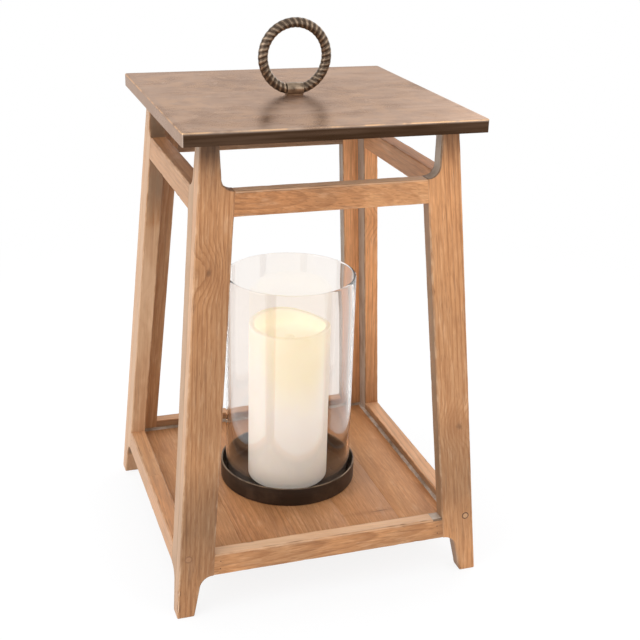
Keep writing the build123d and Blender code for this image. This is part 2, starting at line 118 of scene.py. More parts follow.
@dataclass(frozen=True)
class Wire:
    """Output of a node, which reckons like a number by adding more nodes."""

    graph: "NodeBuilder"
    socket: NodeSocket

    def __getitem__(self, output: str | int) -> "Wire":
        """Another output of the same node."""
        return Wire(self.graph, self.socket.node.outputs[output])

    def math(self, operation: str, other: "Input" = 0.0, clamp: bool = False) -> "Wire":
        """Result of a Math node on the wire and perhaps another value."""
        return self.graph.add("ShaderNodeMath", {0: self, 1: other}, operation=operation, use_clamp=clamp)

    def __add__(self, other: "Input") -> "Wire":
        """The sum."""
        return self.math("ADD", other)

    def __sub__(self, other: "Input") -> "Wire":
        """The difference."""
        return self.math("SUBTRACT", other)

    def __rsub__(self, other: float) -> "Wire":
        """A number less the wire."""
        return self.graph.add("ShaderNodeMath", {0: other, 1: self}, operation="SUBTRACT")

    def __mul__(self, other: "Input") -> "Wire":
        """The product."""
        return self.math("MULTIPLY", other)

    def __truediv__(self, other: "Input") -> "Wire":
        """The quotient."""
        return self.math("DIVIDE", other)

    __radd__, __rmul__ = __add__, __mul__

    def split(self) -> list["Wire"]:
        """The three parts of a vector."""
        parts = self.graph.add("ShaderNodeSeparateXYZ", {0: self})
        return [parts[axis] for axis in range(3)]

    def smooth(self, low: float, high: float, at_low: float = 0.0, at_high: float = 1.0) -> "Wire":
        """A smooth step between two values of the wire."""
        inputs = dict(enumerate((self, low, high, at_low, at_high)))
        return self.graph.add("ShaderNodeMapRange", inputs, interpolation_type="SMOOTHSTEP")

    def noise(
        self, scale: float | Colour, detail: float = 2.0, rough: float = 0.5, warp: float = 0.0
    ) -> "Wire":
        """Noise between 0 and 1 at a place.

        Args:
            scale: Scale of the noise, or one for each axis.
            detail: Number of finer layers.
            rough: Share of the finer layers.
            warp: How far the noise is distorted.

        Returns:
            The noise.
        """
        place = self
        if isinstance(scale, tuple):
            place = self.graph.add("ShaderNodeVectorMath", {0: self, 1: scale}, operation="MULTIPLY")
            scale = 1.0
        inputs = {"Vector": place, "Scale": scale, "Detail": detail, "Roughness": rough, "Distortion": warp}
        return self.graph.add("ShaderNodeTexNoise", inputs)


Input = Wire | float | Sequence[float] | str | Material


def hypot(*parts: Wire) -> Wire:
    """Length of a way from its parts at right angles."""
    squares = [part * part for part in parts]
    return sum(squares[1:], squares[0]).math("SQRT")


class NodeBuilder:
    """Adds nodes to a tree and feeds their inputs with values or wires."""

    def __init__(self, tree: NodeTree) -> None:
        """Start on an emptied tree."""
        self.tree = tree
        tree.nodes.clear()

    def feed(self, socket: NodeSocket, value: Input) -> None:
        """Link an input to a wire, or set its value.

        Args:
            socket: Input of a node.
            value: Wire or plain value; a colour may lack its alpha.
        """
        if isinstance(value, Wire):
            self.tree.links.new(value.socket, socket)
        elif socket.type == "RGBA" and len(value) == 3:
            socket.default_value = (*value, 1.0)
        else:
            socket.default_value = value

    def add(self, kind: str, inputs: dict[str | int, Input] | None = None, **settings: object) -> Wire:
        """Add one node.

        Args:
            kind: Blender's name of the node type.
            inputs: Values or wires by input name or index.
            settings: Properties of the node.

        Returns:
            The node's first output.
        """
        node = self.tree.nodes.new(kind)
        for name, value in settings.items():
            setattr(node, name, value)
        for key, value in (inputs or {}).items():
            self.feed(node.inputs[key], value)
        return Wire(self, node.outputs[0])

    def joined(self, x: Input, y: Input, z: Input) -> Wire:
        """A vector from three parts."""
        return self.add("ShaderNodeCombineXYZ", {0: x, 1: y, 2: z})

    def rays(self, *kinds: str) -> Wire:
        """One for rays of some kinds and nought for others.

        Args:
            kinds: Kinds such as Camera or Glossy.

        Returns:
            The share.
        """
        path = self.add("ShaderNodeLightPath")
        share = path[f"Is {kinds[0]} Ray"]
        for kind in kinds[1:]:
            share = share.math("MAXIMUM", path[f"Is {kind} Ray"])
        return share

    def end(self, kind: str, wire: Wire) -> None:
        """Feed the node that ends the tree."""
        self.feed(self.tree.nodes.new(kind).inputs[0], wire)


class ShaderGraph(NodeBuilder):
    """Node tree of one material."""

    def __init__(self, name: str) -> None:
        """Make an empty material.

        Args:
            name: Name of the material.
        """
        self.material = bpy.data.materials.new(name)
        self.material.use_nodes = True
        super().__init__(self.material.node_tree)

    def place(self) -> Wire:
        """Object coordinates, which are those of the CAD frame."""
        return self.add("ShaderNodeTexCoord")["Object"]

    def attribute(self, name: str, output: str = "Fac") -> Wire:
        """Attribute of the mesh."""
        return self.add("ShaderNodeAttribute", attribute_type="GEOMETRY", attribute_name=name)[output]

    def mix(self, share: Input, a: Input, b: Input, blend: str = "MIX") -> Wire:
        """A mix of two colours."""
        inputs = {0: share, 6: a, 7: b}
        return self.add("ShaderNodeMix", inputs, data_type="RGBA", blend_type=blend)[2]

    def layers(self, colour: Input, *coats: tuple[Input, Input]) -> Wire:
        """Colour with coats over it.

        Args:
            colour: Colour underneath.
            coats: Share and colour of each coat, from the lowest.

        Returns:
            The colour that is seen.
        """
        for share, coat in coats:
            colour = self.mix(share, colour, coat)
        return colour

    def ramp(self, factor: Wire, *stops: tuple[float, Colour]) -> Wire:
        """A colour ramp.

        Args:
            factor: Place on the ramp.
            stops: Places and their colours, at least two.

        Returns:
            The ramp's colour.
        """
        ramp = self.add("ShaderNodeValToRGB", {0: factor})
        elements = ramp.socket.node.color_ramp.elements
        while len(elements) < len(stops):
            elements.new(1.0)
        for element, (where, colour) in zip(elements, stops):
            element.position = where
            element.color = (*colour, 1.0)
        return ramp

    def bump(self, height: Wire, distance: float, strength: float) -> Wire:
        """A bumped normal for a height between 0 and 1."""
        return self.add("ShaderNodeBump", {"Strength": strength, "Distance": distance, "Height": height})

    def principled(self, **inputs: Input) -> Wire:
        """A Principled shader, with underscores for the spaces in the names of its inputs."""
        named = {key.replace("_", " "): value for key, value in inputs.items()}
        return self.add("ShaderNodeBsdfPrincipled", named)

    def close(self, shader: Wire) -> Material:
        """Finish the material with a shader."""
        self.end("ShaderNodeOutputMaterial", shader)
        return self.material

    def surface(self, **inputs: Input) -> Material:
        """Finish the material with one Principled shader."""
        return self.close(self.principled(**inputs))


class GeometryTree(NodeBuilder):
    """Geometry Nodes tree with named inputs, turned into plain meshes."""

    KINDS = {int: "Int", float: "Float", tuple: "Vector", Material: "Material"}

    def __init__(self, name: str, values: dict[str, Input]) -> None:
        """Make a tree with a geometry input and output.

        Args:
            name: Name of the tree.
            values: Named inputs with values that tell their kinds.
        """
        super().__init__(bpy.data.node_groups.new(name, "GeometryNodeTree"))
        face = self.tree.interface
        face.new_socket("Geometry", in_out="INPUT", socket_type="NodeSocketGeometry")
        self.identifiers: dict[str, str] = {}
        for label, value in values.items():
            kind = f"NodeSocket{self.KINDS[type(value)]}"
            self.identifiers[label] = face.new_socket(label, in_out="INPUT", socket_type=kind).identifier
        face.new_socket("Geometry", in_out="OUTPUT", socket_type="NodeSocketGeometry")
        self.inputs = self.add("NodeGroupInput")
        self.place = self.add("GeometryNodeInputPosition")

    def store(self, geometry: Wire, name: str, value: Wire) -> Wire:
        """Geometry with a number stored on its points."""
        inputs = {"Geometry": geometry, "Name": name, "Value": value}
        return self.add("GeometryNodeStoreNamedAttribute", inputs, data_type="FLOAT", domain="POINT")

    def close(self, geometry: Wire) -> "GeometryTree":
        """End the tree in Realize Instances and Set Material.

        Args:
            geometry: What the tree has made.

        Returns:
            The finished tree.
        """
        real = self.add("GeometryNodeRealizeInstances", {0: geometry})
        inputs = {"Geometry": real, "Material": self.inputs["Material"]}
        self.end("NodeGroupOutput", self.add("GeometryNodeSetMaterial", inputs))
        return self

    def run(self, name: str, values: dict[str, Input], base: Mesh | None = None) -> Object:
        """Evaluate the tree once and keep the result as a plain mesh.

        Args:
            name: Name of the piece.
            values: Value of each named input.
            base: Mesh that the tree starts from, if it needs one.

        Returns:
            The new piece, linked into the scene.
        """
        scratch = linked(f"{name}_nodes", base or bpy.data.meshes.new(f"{name}_base"))
        modifier = scratch.modifiers.new("Nodes", "NODES")
        modifier.node_group = self.tree
        for label, value in values.items():
            modifier[self.identifiers[label]] = value
        graph = bpy.context.evaluated_depsgraph_get()
        mesh = bpy.data.meshes.new_from_object(scratch.evaluated_get(graph), depsgraph=graph)
        scratch.modifiers.remove(modifier)
        bpy.data.objects.remove(scratch)
        mesh.name = name
        return finish_mesh(mesh)


# Meshes


def linked(name: str, data: ID) -> Object:
    """New object in the scene for a mesh, a lamp or a camera.

    Args:
        name: Name of the object.
        data: What it shows.

    Returns:
        The object.
    """
    thing = bpy.data.objects.new(name, data)
    bpy.context.scene.collection.objects.link(thing)
    return thing


def finish_mesh(mesh: Mesh, crease: float = CREASE) -> Object:
    """Close a mesh, turn its faces outwards, smooth it and link it as a piece of its name.

    Args:
        mesh: Mesh with its place in its vertices.
        crease: Angle in degrees from which an edge stays sharp.

    Returns:
        The new object at the origin.
    """
    draft = bmesh.new()
    draft.from_mesh(mesh)
    bmesh.ops.remove_doubles(draft, verts=draft.verts, dist=WELD)
    bmesh.ops.recalc_face_normals(draft, faces=draft.faces)
    draft.to_mesh(mesh)
    draft.free()
    mesh.shade_smooth()
    mesh.set_sharp_from_angle(angle=math.radians(crease))
    return linked(mesh.name, mesh)


def mark(mesh: Mesh, marks: Marks) -> None:
    """Store attributes on the points of a mesh.

    Args:
        mesh: The mesh.
        marks: A number or a vector for each point, by attribute.
    """
    for label, values in marks.items():
        if isinstance(values[0], Vector):
            flat = [part for value in values for part in value]
            mesh.attributes.new(label, "FLOAT_VECTOR", "POINT").data.foreach_set("vector", flat)
        else:
            mesh.attributes.new(label, "FLOAT", "POINT").data.foreach_set("value", values)


def skin(
    name: str,
    rings: list[list[Vector]],
    material: Material,
    crease: float = CREASE,
    marks: Marks | None = None,
) -> Object:
    """Piece with a skin of quads through closed rings of points.

    Args:
        name: Name of the piece.
        rings: Rings with equally many points.
        material: Its material.
        crease: Angle in degrees from which an edge stays sharp.
        marks: Attributes of a solid piece whose ends are capped; without them the last ring joins
            the first.

    Returns:
        The new object.
    """
    points = [point for ring in rings for point in ring]
    total, count = len(points), len(rings[0])
    faces = []
    for low in range(0, total - count if marks else total, count):
        high = (low + count) % total
        for index in range(count):
            after = (index + 1) % count
            faces.append((low + index, low + after, high + after, high + index))
    if marks:
        faces += [tuple(range(count)), tuple(range(total - count, total))]
    mesh = bpy.data.meshes.new(name)
    mesh.from_pydata(points, [], faces)
    mark(mesh, marks or {})
    mesh.materials.append(material)
    return finish_mesh(mesh, crease)


def arc(spot: Vector, back: Vector, ahead: Vector, steps: int) -> list[Vector]:
    """Points that round a right-angled corner, from one way out of it to the other."""
    angles = [step / steps * TURN / 4 for step in range(steps + 1)]
    return [spot + (back * (1 - math.sin(angle)) + ahead * (1 - math.cos(angle))) for angle in angles]


def turned(
    outline: Outline, segments: int, lift: Callable[[float, float, float], float] | None = None
) -> list[list[Vector]]:
    """Rings of a turned shape.

    Args:
        outline: Radius and height of each point round the section; a right-angled corner also has
            the radius and the steps of its rounding.
        segments: Points in a ring.
        lift: Height to add at x, y and z, if any.

    Returns:
        One ring of points for each point of the rounded outline.
    """
    profile = []
    for index, (radius, height, *bend) in enumerate(outline):
        spot, ways = Vector((radius, height)), []
        for near in (outline[index - 1], outline[(index + 1) % len(outline)]):
            ways.append((Vector(near[:2]) - spot).normalized())
        profile += arc(spot, ways[0] * bend[0], ways[1] * bend[0], bend[1]) if bend else [(radius, height)]
    rings = []
    for radius, height in profile:
        ring = []
        for index in range(segments):
            angle = index * TURN / segments
            x, y = radius * math.cos(angle), radius * math.sin(angle)
            ring.append(Vector((x, y, height + (lift(x, y, height) if lift else 0.0))))
        rings.append(ring)
    return rings


def smooth_copy(node: str, name: str, material: Material, bevel: float = 0.0) -> Object:
    """Merged and smoothed copy of a CAD node.

    Args:
        node: Name of the CAD node.
        name: Name of the piece.
        material: Its material.
        bevel: Width of the rounding on its sharp edges.

    Returns:
        The new object.
    """
    draft = bmesh.new()
    draft.from_mesh(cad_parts[node].data)
    bmesh.ops.remove_doubles(draft, verts=draft.verts, dist=WELD)
    bmesh.ops.dissolve_limit(draft, angle_limit=math.radians(0.5), verts=draft.verts, edges=draft.edges)
    if bevel:
        closed = [edge for edge in draft.edges if edge.is_manifold]
        sharp = [edge for edge in closed if edge.calc_face_angle() > math.radians(35)]
        bmesh.ops.bevel(
            draft, geom=sharp, offset=bevel, segments=2, profile=0.5, affect="EDGES", clamp_overlap=True
        )
    mesh = bpy.data.meshes.new(name)
    draft.to_mesh(mesh)
    draft.free()
    mesh.materials.append(material)
    return finish_mesh(mesh)


def settle(piece: Object, slot: str | None, *nodes: str, body: Body = Body.FRAME) -> None:
    """Put a finished piece on its body, hide the CAD nodes that it replaces and log it.

    Args:
        piece: The piece.
        slot: Material slot, if it has one; not used.
        nodes: CAD nodes that it replaces.
        body: Body that it rides on.
    """
    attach(piece, body.value)
    if nodes:
        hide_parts(*nodes)
    log.info("%s: %d faces on %s", piece.name, len(piece.data.polygons), body.value)


def paint(material: Material, *nodes: str) -> None:
    """Give CAD nodes that stay in view a material.

    Args:
        material: The material.
        nodes: Names of the nodes.
    """
    for node in nodes:
        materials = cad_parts[node].data.materials
        materials.clear()
        materials.append(material)
        log.info("%s: CAD node in %s", node, material.name)


# Finishes


@dataclass(frozen=True)
class WoodFinish:
    """Old softwood with growth rings, fibres, knots and worn edges, and with painted light and shade.

    It reads where a point lies in its board from the board's own attributes. A tone of 0 is grey
    brown, 0.5 honey and 1 russet, and a board that is calm all the way shows no figure. The shade
    attribute brightens or darkens the colour, partly as the wood's own colour and partly as painted
    light and shade. Faces are tinted dark brown where stained and where shade is painted, chalky grey
    for chalky wood and painted sheen, and pale where worn and where light and sheen are painted.
    """

    name: str = "old_wood"
    early: Colour = (0.58, 0.278, 0.117)
    late: Colour = (0.31, 0.124, 0.044)
    russet: Colour = (0.64, 0.275, 0.104)
    grey: Colour = (0.41, 0.225, 0.112)
    streak: Colour = (0.20, 0.088, 0.037)
    knot: Colour = (0.13, 0.058, 0.027)
    # Pale rubbed wood, also used for painted light on rail tops and painted sheen on faces towards the left
    # lamp.
    worn: Colour = (0.86, 0.59, 0.385)
    # Dark brown of stained wood and of painted shade on inner and head faces.
    stain: Colour = (0.215, 0.138, 0.085)
    # Chalky grey of filler and weathered wood, and of painted sheen on faces towards the left lamp.
    chalk: Colour = (0.57, 0.47, 0.385)
    ring_width: float = 3.9 * MM
    wobble: float = 2.0 * MM
    drift: float = 11 * MM
    knot_reach: float = 15 * MM
    knot_swell: float = 11 * MM
    knot_rag: float = 2.6 * MM
    roughness: float = 0.5
    relief: float = 0.22 * MM

    def build(self) -> Material:
        """Make the material.

        Returns:
            The finished material.
        """
        g = ShaderGraph(self.name)
        grain = g.attribute(GRAIN, "Vector")
        along, across, through = g.attribute(KNOT, "Vector").split()
        knot_gap = hypot(along, across, through * 0.25) + (grain.noise(260.0) - 0.5) * self.knot_rag
        lively = 1.0 - g.attribute(CALM)
        ring = self.growth_rings(g, grain, knot_gap) * lively
        ring_share = grain.noise((5, 34, 34)).smooth(0.3, 0.7, 0.22, 0.8)
        fibre = grain.noise((34, 620, 620), 3.0, 0.6)
        pores = grain.noise((95, 1250, 1250), 1.0).smooth(0.64, 0.74)
        streak = grain.noise((11, 330, 330), 3.0, 0.6).smooth(0.52, 0.74, 0.0, 0.55)
        fleck = grain.noise((28, 900, 900), 2.0, 0.55).smooth(0.52, 0.68, 0.0, 0.55)
        colour = g.layers(
            self.mottled(g, grain),
            (ring * ring_share, self.late),
            (streak * lively, self.streak),
            (fleck * lively, self.late),
            (fibre.smooth(0.3, 0.7, 0.3, 0.0), self.late),
            (fibre.smooth(0.5, 0.8, 0.0, 0.16), self.worn),
            (pores * 0.35, self.streak),
            (knot_gap.smooth(2 * MM, 11 * MM, 0.32, 0.0), self.late),
            (knot_gap.smooth(0.4 * MM, 2.2 * MM, 0.6, 0.0), self.knot),
        )
        # The shade multiplies the colour: partly the wood's own colour, partly painted light and shade.
        shade = g.attribute(SHADE)
        colour = g.mix(1.0, colour, g.joined(shade, shade, shade), "MULTIPLY")
        return g.surface(
            Base_Color=self.aged(g, grain, colour),
            Roughness=self.roughness + (fibre - 0.5) * 0.3,
            Specular_IOR_Level=0.36,
            Normal=g.bump(fibre * 0.55 + ring * -0.3 - pores * 0.4, self.relief, 0.7),
        )

    def growth_rings(self, g: ShaderGraph, grain: Wire, knot_gap: Wire) -> Wire:
        """Growth rings round the pith that bend about the knot, 1 in the late wood.

        Args:
            g: Tree of the material.
            grain: Place along, across and through the tree.
            knot_gap: Distance from the knot.

        Returns:
            The rings.
        """
        _, across, through = grain.split()
        wobble = (grain.noise((7, 60, 60)) - 0.5) * self.wobble
        drift = (grain.noise((1.8, 13, 13), 1.0) - 0.5) * self.drift
        swell = knot_gap.smooth(0.0, self.knot_reach, 1.0, 0.0) * self.knot_swell
        phase = (hypot(across + wobble + drift, through) + swell) / self.ring_width
        levels = ((0.0, 0.0), (0.5, 0.14), (0.8, 0.85), (0.9, 1.0), (1.0, 0.0))
        return g.ramp(phase.math("FRACT"), *[(where, (level,) * 3) for where, level in levels])

    def mottled(self, g: ShaderGraph, grain: Wire) -> Wire:
        """Colour of the early wood, by the board's tone and in clouds along it.

        Args:
            g: Tree of the material.
            grain: Place along, across and through the tree.

        Returns:
            The colour.
        """
        tone = g.attribute(TONE)
        cloud = grain.noise((7, 22, 22), 3.0, 0.55)
        blotch = grain.noise((24, 75, 75), 3.0, 0.6)
        return g.layers(
            self.grey,
            (tone.smooth(0.0, 0.5), self.early),
            (tone.smooth(0.5, 1.0), self.russet),
            (cloud.smooth(0.44, 0.75, 0.0, 0.6), self.grey),
            (cloud.smooth(0.2, 0.42, 0.45, 0.0), self.russet),
            (blotch.smooth(0.5, 0.74, 0.0, 0.4), self.late),
            (blotch.smooth(0.26, 0.44, 0.24, 0.0), self.worn),
        )

    def aged(self, g: ShaderGraph, grain: Wire, colour: Wire) -> Wire:
        """The colour with tinted faces, rubbed edges and pale chips: dark brown where stained and where
        shade is painted, chalky grey for chalky wood and painted sheen, pale where rubbed and where light
        and sheen are painted.

        Args:
            g: Tree of the material.
            grain: Place along, across and through the tree.
            colour: Colour of the clean wood.

        Returns:
            The colour.
        """
        patch = grain.noise((26, 90, 90), 3.0, 0.6).smooth(0.25, 0.6, 0.7, 1.0)
        stain = g.attribute(STAIN) * patch
        edge = g.attribute(EDGE)
        scuff = grain.noise((70, 240, 240), 3.0, 0.6).smooth(0.46, 0.66, 0.0, 0.32)
        wear = edge.math("MULTIPLY", scuff, clamp=True).math("MAXIMUM", edge - 1.0, clamp=True)
        return g.layers(
            colour,
            # Dark brown for stained wood and painted shade, chalky grey for chalky wood and painted sheen,
            # pale for rubbing and painted light and sheen.
            (stain.math("MAXIMUM", 0.0, clamp=True), self.stain),
            (stain.math("SUBTRACT", 1.0, clamp=True), self.chalk),
            (stain.math("MULTIPLY", -1.0, clamp=True), self.worn),
            (wear, self.worn),
        )


@dataclass(frozen=True)
class SheetFinish:
    """Bronze-coated sheet with a blotchy patina and a worn rim; its folded edges are dark, part patina and
    part painted dark reflection, and its left edge is painted pale, a painted reflection of the left lamp.
    """

    name: str = "bronze_patina"
    pale: Colour = (0.50, 0.377, 0.305)
    middle: Colour = (0.37, 0.257, 0.195)
    scuff: Colour = (0.72, 0.59, 0.50)
    dark: Colour = (0.22, 0.132, 0.088)
    # Folded edges: part dark patina, part painted dark reflection.
    skirt: Colour = (0.044, 0.020, 0.008)
    rim: Colour = (0.78, 0.50, 0.29)
    sheen: Colour = (0.82, 0.66, 0.56)
    half: float = 125 * MM
    top: float = 416.5 * MM
    fold: float = 1.3 * MM

    def build(self) -> Material:
        """Make the material.

        Returns:
            The finished material.
        """
        g = ShaderGraph(self.name)
        place = g.place()
        across, _, height = place.split()
        cloud = place.noise((15, 24, 15), 4.0, 0.62, 0.6)
        brush = place.noise((14, 330, 330), 3.0, 0.55)
        spot = place.noise(46.0, 3.0, 0.6, 1.2)
        scuff = place.noise((70, 105, 70), 3.0, 0.6, 0.8)
        # The folded edges are painted dark, part patina and part painted dark reflection, and the left one
        # pale as a painted reflection of the left lamp.
        skirt = g.mix(brush.smooth(0.3, 0.75, 0.0, 0.3), self.skirt, self.dark)
        left = across.smooth(0.6 * MM - self.half, 1.6 * MM - self.half, 0.8, 0.0)
        low = height.smooth(self.top - 2.2 * self.fold, self.top - 0.5 * self.fold, 1.0, 0.0)
        near_fold = (height - (self.top - 0.55 * self.fold)).math("ABSOLUTE")
        worn = near_fold.smooth(0.2 * self.fold, 0.6 * self.fold, 1.0, 0.0)
        bands = ((0.28, self.dark), (0.45, self.middle), (0.62, self.pale), (0.8, self.middle))
        colour = g.layers(
            g.ramp(cloud, *bands),
            (spot.smooth(0.57, 0.68, 0.0, 0.6), self.pale),
            (spot.smooth(0.22, 0.36, 0.35, 0.0), self.dark),
            (scuff.smooth(0.68, 0.74, 0.0, 0.6), self.scuff),
            (brush.smooth(0.35, 0.7, 0.0, 0.25), self.dark),
            (place.noise(420.0, 3.0, 0.7).smooth(0.52, 0.7, 0.0, 0.3), self.dark),
            (low, g.mix(left, skirt, self.pale)),
            (worn * place.noise(75.0, 3.0).smooth(0.4, 0.58, 0.15, 0.9), self.rim),
        )
        return g.surface(
            Base_Color=colour,
            Metallic=0.8,
            Roughness=0.25 + (cloud - 0.5) * 0.24 + place.noise(900.0) * 0.08,
            Specular_Tint=self.sheen,
            Normal=g.bump(brush * 0.5 + spot * 0.6, 0.1 * MM, 0.35),
        )


@dataclass(frozen=True)
class CastBronzeFinish:
    """Antique bronze, near black in its grooves and golden where hands rub it.

    Pieces without ridges are rubbed evenly.
    """

    name: str = "antique_bronze"
    groove: Colour = (0.045, 0.029, 0.019)
    body: Colour = (0.11, 0.077, 0.054)
    crest: Colour = (0.34, 0.25, 0.175)
    flush: Colour = (0.15, 0.095, 0.072)
    rub: float = 0.0
    roughness: float = 0.22

    def build(self) -> Material:
        """Make the material.

        Returns:
            The finished material.
        """
        g = ShaderGraph(self.name)
        place = g.place()
        patina = place.noise(130.0, 3.0, 0.6)
        height = g.attribute(RIDGE) + (patina - 0.5) * 0.5 + self.rub
        bands = ((0.15, self.groove), (0.5, self.body), (0.85, self.body), (1.0, self.crest))
        return g.surface(
            Base_Color=g.mix(patina.smooth(0.55, 0.75, 0.0, 0.4), g.ramp(height, *bands), self.flush),
            Metallic=0.9,
            Roughness=self.roughness + patina * 0.2,
            Normal=g.bump(place.noise(1400.0), 0.06 * MM, 0.4),
        )


@dataclass(frozen=True)
class PanFinish:
    """Dark bronze coat with brushed rings, a rubbed rim and faint scratches."""

    name: str = "dark_bronze"
    coat: Colour = (0.030, 0.0175, 0.0105)
    pale: Colour = (0.075, 0.047, 0.030)
    rim: Colour = (0.22, 0.15, 0.095)
    rim_height: float = 64.4 * MM

    def build(self) -> Material:
        """Make the material.

        Returns:
            The finished material.
        """
        g = ShaderGraph(self.name)
        place = g.place()
        x, y, z = place.split()
        rings = g.joined(hypot(x, y), z, 0.0).noise(900.0)
        cloud = place.noise(38.0, 4.0, 0.6)
        near_rim = z.smooth(self.rim_height - 0.9 * MM, self.rim_height - 0.2 * MM)
        colour = g.layers(
            self.coat,
            (cloud.smooth(0.4, 0.75), self.pale),
            (rings.smooth(0.45, 0.8, 0.0, 0.35), self.pale),
            (near_rim * place.noise(70.0).smooth(0.35, 0.6, 0.3, 1.0), self.rim),
        )
        return g.surface(
            Base_Color=colour,
            Metallic=0.45,
            Roughness=0.34 + cloud * 0.22,
            Normal=g.bump(rings, 0.05 * MM, 0.5),
        )


@dataclass(frozen=True)
class GlassFinish:
    """Clear blown glass that lets the lamps through to the candle."""

    name: str = "clear_glass"
    tint: Colour = (0.96, 0.912, 0.873)
    pass_tint: Colour = (0.985, 0.975, 0.965)
    bend: float = 1.07
    gloss: float = 1.7

    def build(self) -> Material:
        """Make the material.

        Returns:
            The finished material.
        """
        g = ShaderGraph(self.name)
        glass = g.principled(
            Base_Color=self.tint,
            Roughness=0.0,
            IOR=self.bend,
            Transmission_Weight=1.0,
            Coat_Weight=1.0,
            Coat_Roughness=0.0,
            Coat_IOR=self.gloss,
            Normal=g.bump(g.place().noise((9, 9, 3), 1.0), 0.5 * MM, 0.15),
        )
        clear = g.add("ShaderNodeBsdfTransparent", {"Color": self.pass_tint})
        passing = g.rays("Shadow", "Diffuse")
        return g.close(g.add("ShaderNodeMixShader", {0: passing, 1: glass, 2: clear}))


@dataclass(frozen=True)
class WaxFinish:
    """Ivory wax with a painted glow: emission stands in for the lamp's light through the wax, rising up the
    candle, yellow near its top and strongest on its front, and soft in its well.
    """

    name: str = "ivory_wax"
    ivory: Colour = (0.82, 0.775, 0.705)
    cream: Colour = (0.87, 0.83, 0.765)
    # Colours of the painted glow.
    glow: Colour = (1.0, 0.81, 0.22)
    warm: Colour = (1.0, 0.95, 0.88)
    soft: Colour = (1.0, 0.93, 0.64)
    foot: float = 47.2 * MM
    well: float = 184.2 * MM
    well_reach: float = 33.1 * MM
    rim: float = 204.2 * MM
    radius: float = 38.1 * MM
    thin_side: float = math.radians(-95)

    def build(self) -> Material:
        """Make the material.

        Returns:
            The finished material.
        """
        g = ShaderGraph(self.name)
        place = g.place()
        x, y, z = place.split()
        cloud = place.noise(26.0, 3.0, 0.55)
        # thin: nearness to the glow side at the front, where the painted glow is strongest.
        way = x * (math.cos(self.thin_side) / self.radius) + y * (math.sin(self.thin_side) / self.radius)
        thin = way.math("ABSOLUTE").smooth(0.45, 1.0)
        level = z + (cloud - 0.5) * (40 * MM) + (thin - 0.6) * (30 * MM)
        high = level.smooth(self.rim - 80 * MM, self.rim - 22 * MM)
        yellow = high * (0.3 + thin * 0.7)
        # Painted glow over the whole candle, rising with height.
        painted_glow_rise = z.smooth(self.foot, self.foot + 95 * MM, 0.192, 0.275)
        within = hypot(x, y).smooth(self.well_reach, self.well_reach + 2.5 * MM, 1.0, 0.0)
        inside = within * z.smooth(self.well - 2 * MM, self.well - 1 * MM)
        dim = z.smooth(self.well, self.rim, -0.07, 0.03)
        return g.surface(
            Base_Color=g.mix(cloud.smooth(0.3, 0.7), self.ivory, self.cream),
            Roughness=0.42,
            Subsurface_Weight=0.35,
            Subsurface_Radius=(1.0, 0.72, 0.42),
            Subsurface_Scale=9 * MM,
            # The emission is painted glow: warm all over, yellow near the top on the glow side, soft in the
            # well.
            Emission_Color=g.layers(self.warm, (yellow, self.glow), (inside, self.soft)),
            Emission_Strength=high * 0.06 + painted_glow_rise - inside * dim,
            Normal=g.bump(place.noise(420.0) + cloud, 0.12 * MM, 0.3),
        )


@dataclass(frozen=True)
class PlainFinish:
    """Moulded plastic or plated metal with faint mottling and grain."""

    name: str
    colour: Colour
    shade: Colour
    metallic: float = 0.0
    roughness: float = 0.45
    glow: float = 0.0
    scale: float = 120.0

    def build(self) -> Material:
        """Make the material.

        Returns:
            The finished material.
        """
        g = ShaderGraph(self.name)
        place = g.place()
        cloud = place.noise(self.scale, 3.0, 0.6)
        colour = g.mix(cloud.smooth(0.3, 0.7), self.colour, self.shade)
        return g.surface(
            Base_Color=colour,
            Metallic=self.metallic,
            Roughness=self.roughness + (cloud - 0.5) * 0.2,
            Emission_Color=colour,
            Emission_Strength=self.glow,
            Normal=g.bump(place.noise(1600.0), 0.05 * MM, 0.4),
        )


@dataclass(frozen=True)
class PlugFinish:
    """End grain of a wooden plug with a dark glue line round it."""

    name: str
    heart: Colour
    rings: Colour
    line: Colour

    def build(self) -> Material:
        """Make the material.

        Returns:
            The finished material.
        """
        g = ShaderGraph(self.name)
        radial = g.attribute(RADIAL)
        speck = g.place().noise(900.0, 3.0, 0.6)
        waves = (radial * 2.6 + speck * 0.5).math("FRACT")
        colour = g.layers(
            self.heart,
            (waves.smooth(0.4, 0.9, 0.0, 0.6), self.rings),
            (radial.smooth(0.62, 0.84), self.line),
        )
        return g.surface(Base_Color=colour, Roughness=0.6, Normal=g.bump(speck, 0.1 * MM, 0.5))


@dataclass(frozen=True)
class GroundFinish:
    """Pale studio floor that runs out to white and keeps the lantern's shadow."""

    name: str = "studio_floor"
    paper: Colour = (0.72, 0.745, 0.77)
    pale: Colour = (0.74, 0.765, 0.79)
    lift: float = 0.84
    shadow: float = 0.24
    near: float = 0.34
    far: float = 0.95

    def build(self) -> Material:
        """Make the material.

        Returns:
            The finished material.
        """
        g = ShaderGraph(self.name)
        place = g.place()
        x, y, _ = place.split()
        tint = g.mix(place.noise(3.0).smooth(0.3, 0.7), self.paper, self.pale)
        dimmed = g.mix(1.0, tint, (self.shadow,) * 3, "MULTIPLY")
        paper, thin = [g.add("ShaderNodeBsdfDiffuse", {"Color": colour}) for colour in (tint, dimmed)]
        levels = (self.lift, 1.0)
        lift, white = [g.add("ShaderNodeEmission", {"Color": WHITE, "Strength": level}) for level in levels]
        lit = g.add("ShaderNodeAddShader", {0: thin, 1: lift})
        away = hypot(x, y).smooth(self.near, self.far)
        seen = g.add("ShaderNodeMixShader", {0: away, 1: lit, 2: white})
        return g.close(g.add("ShaderNodeMixShader", {0: g.rays(*SEEN_RAYS), 1: paper, 2: seen}))


# Wooden frame


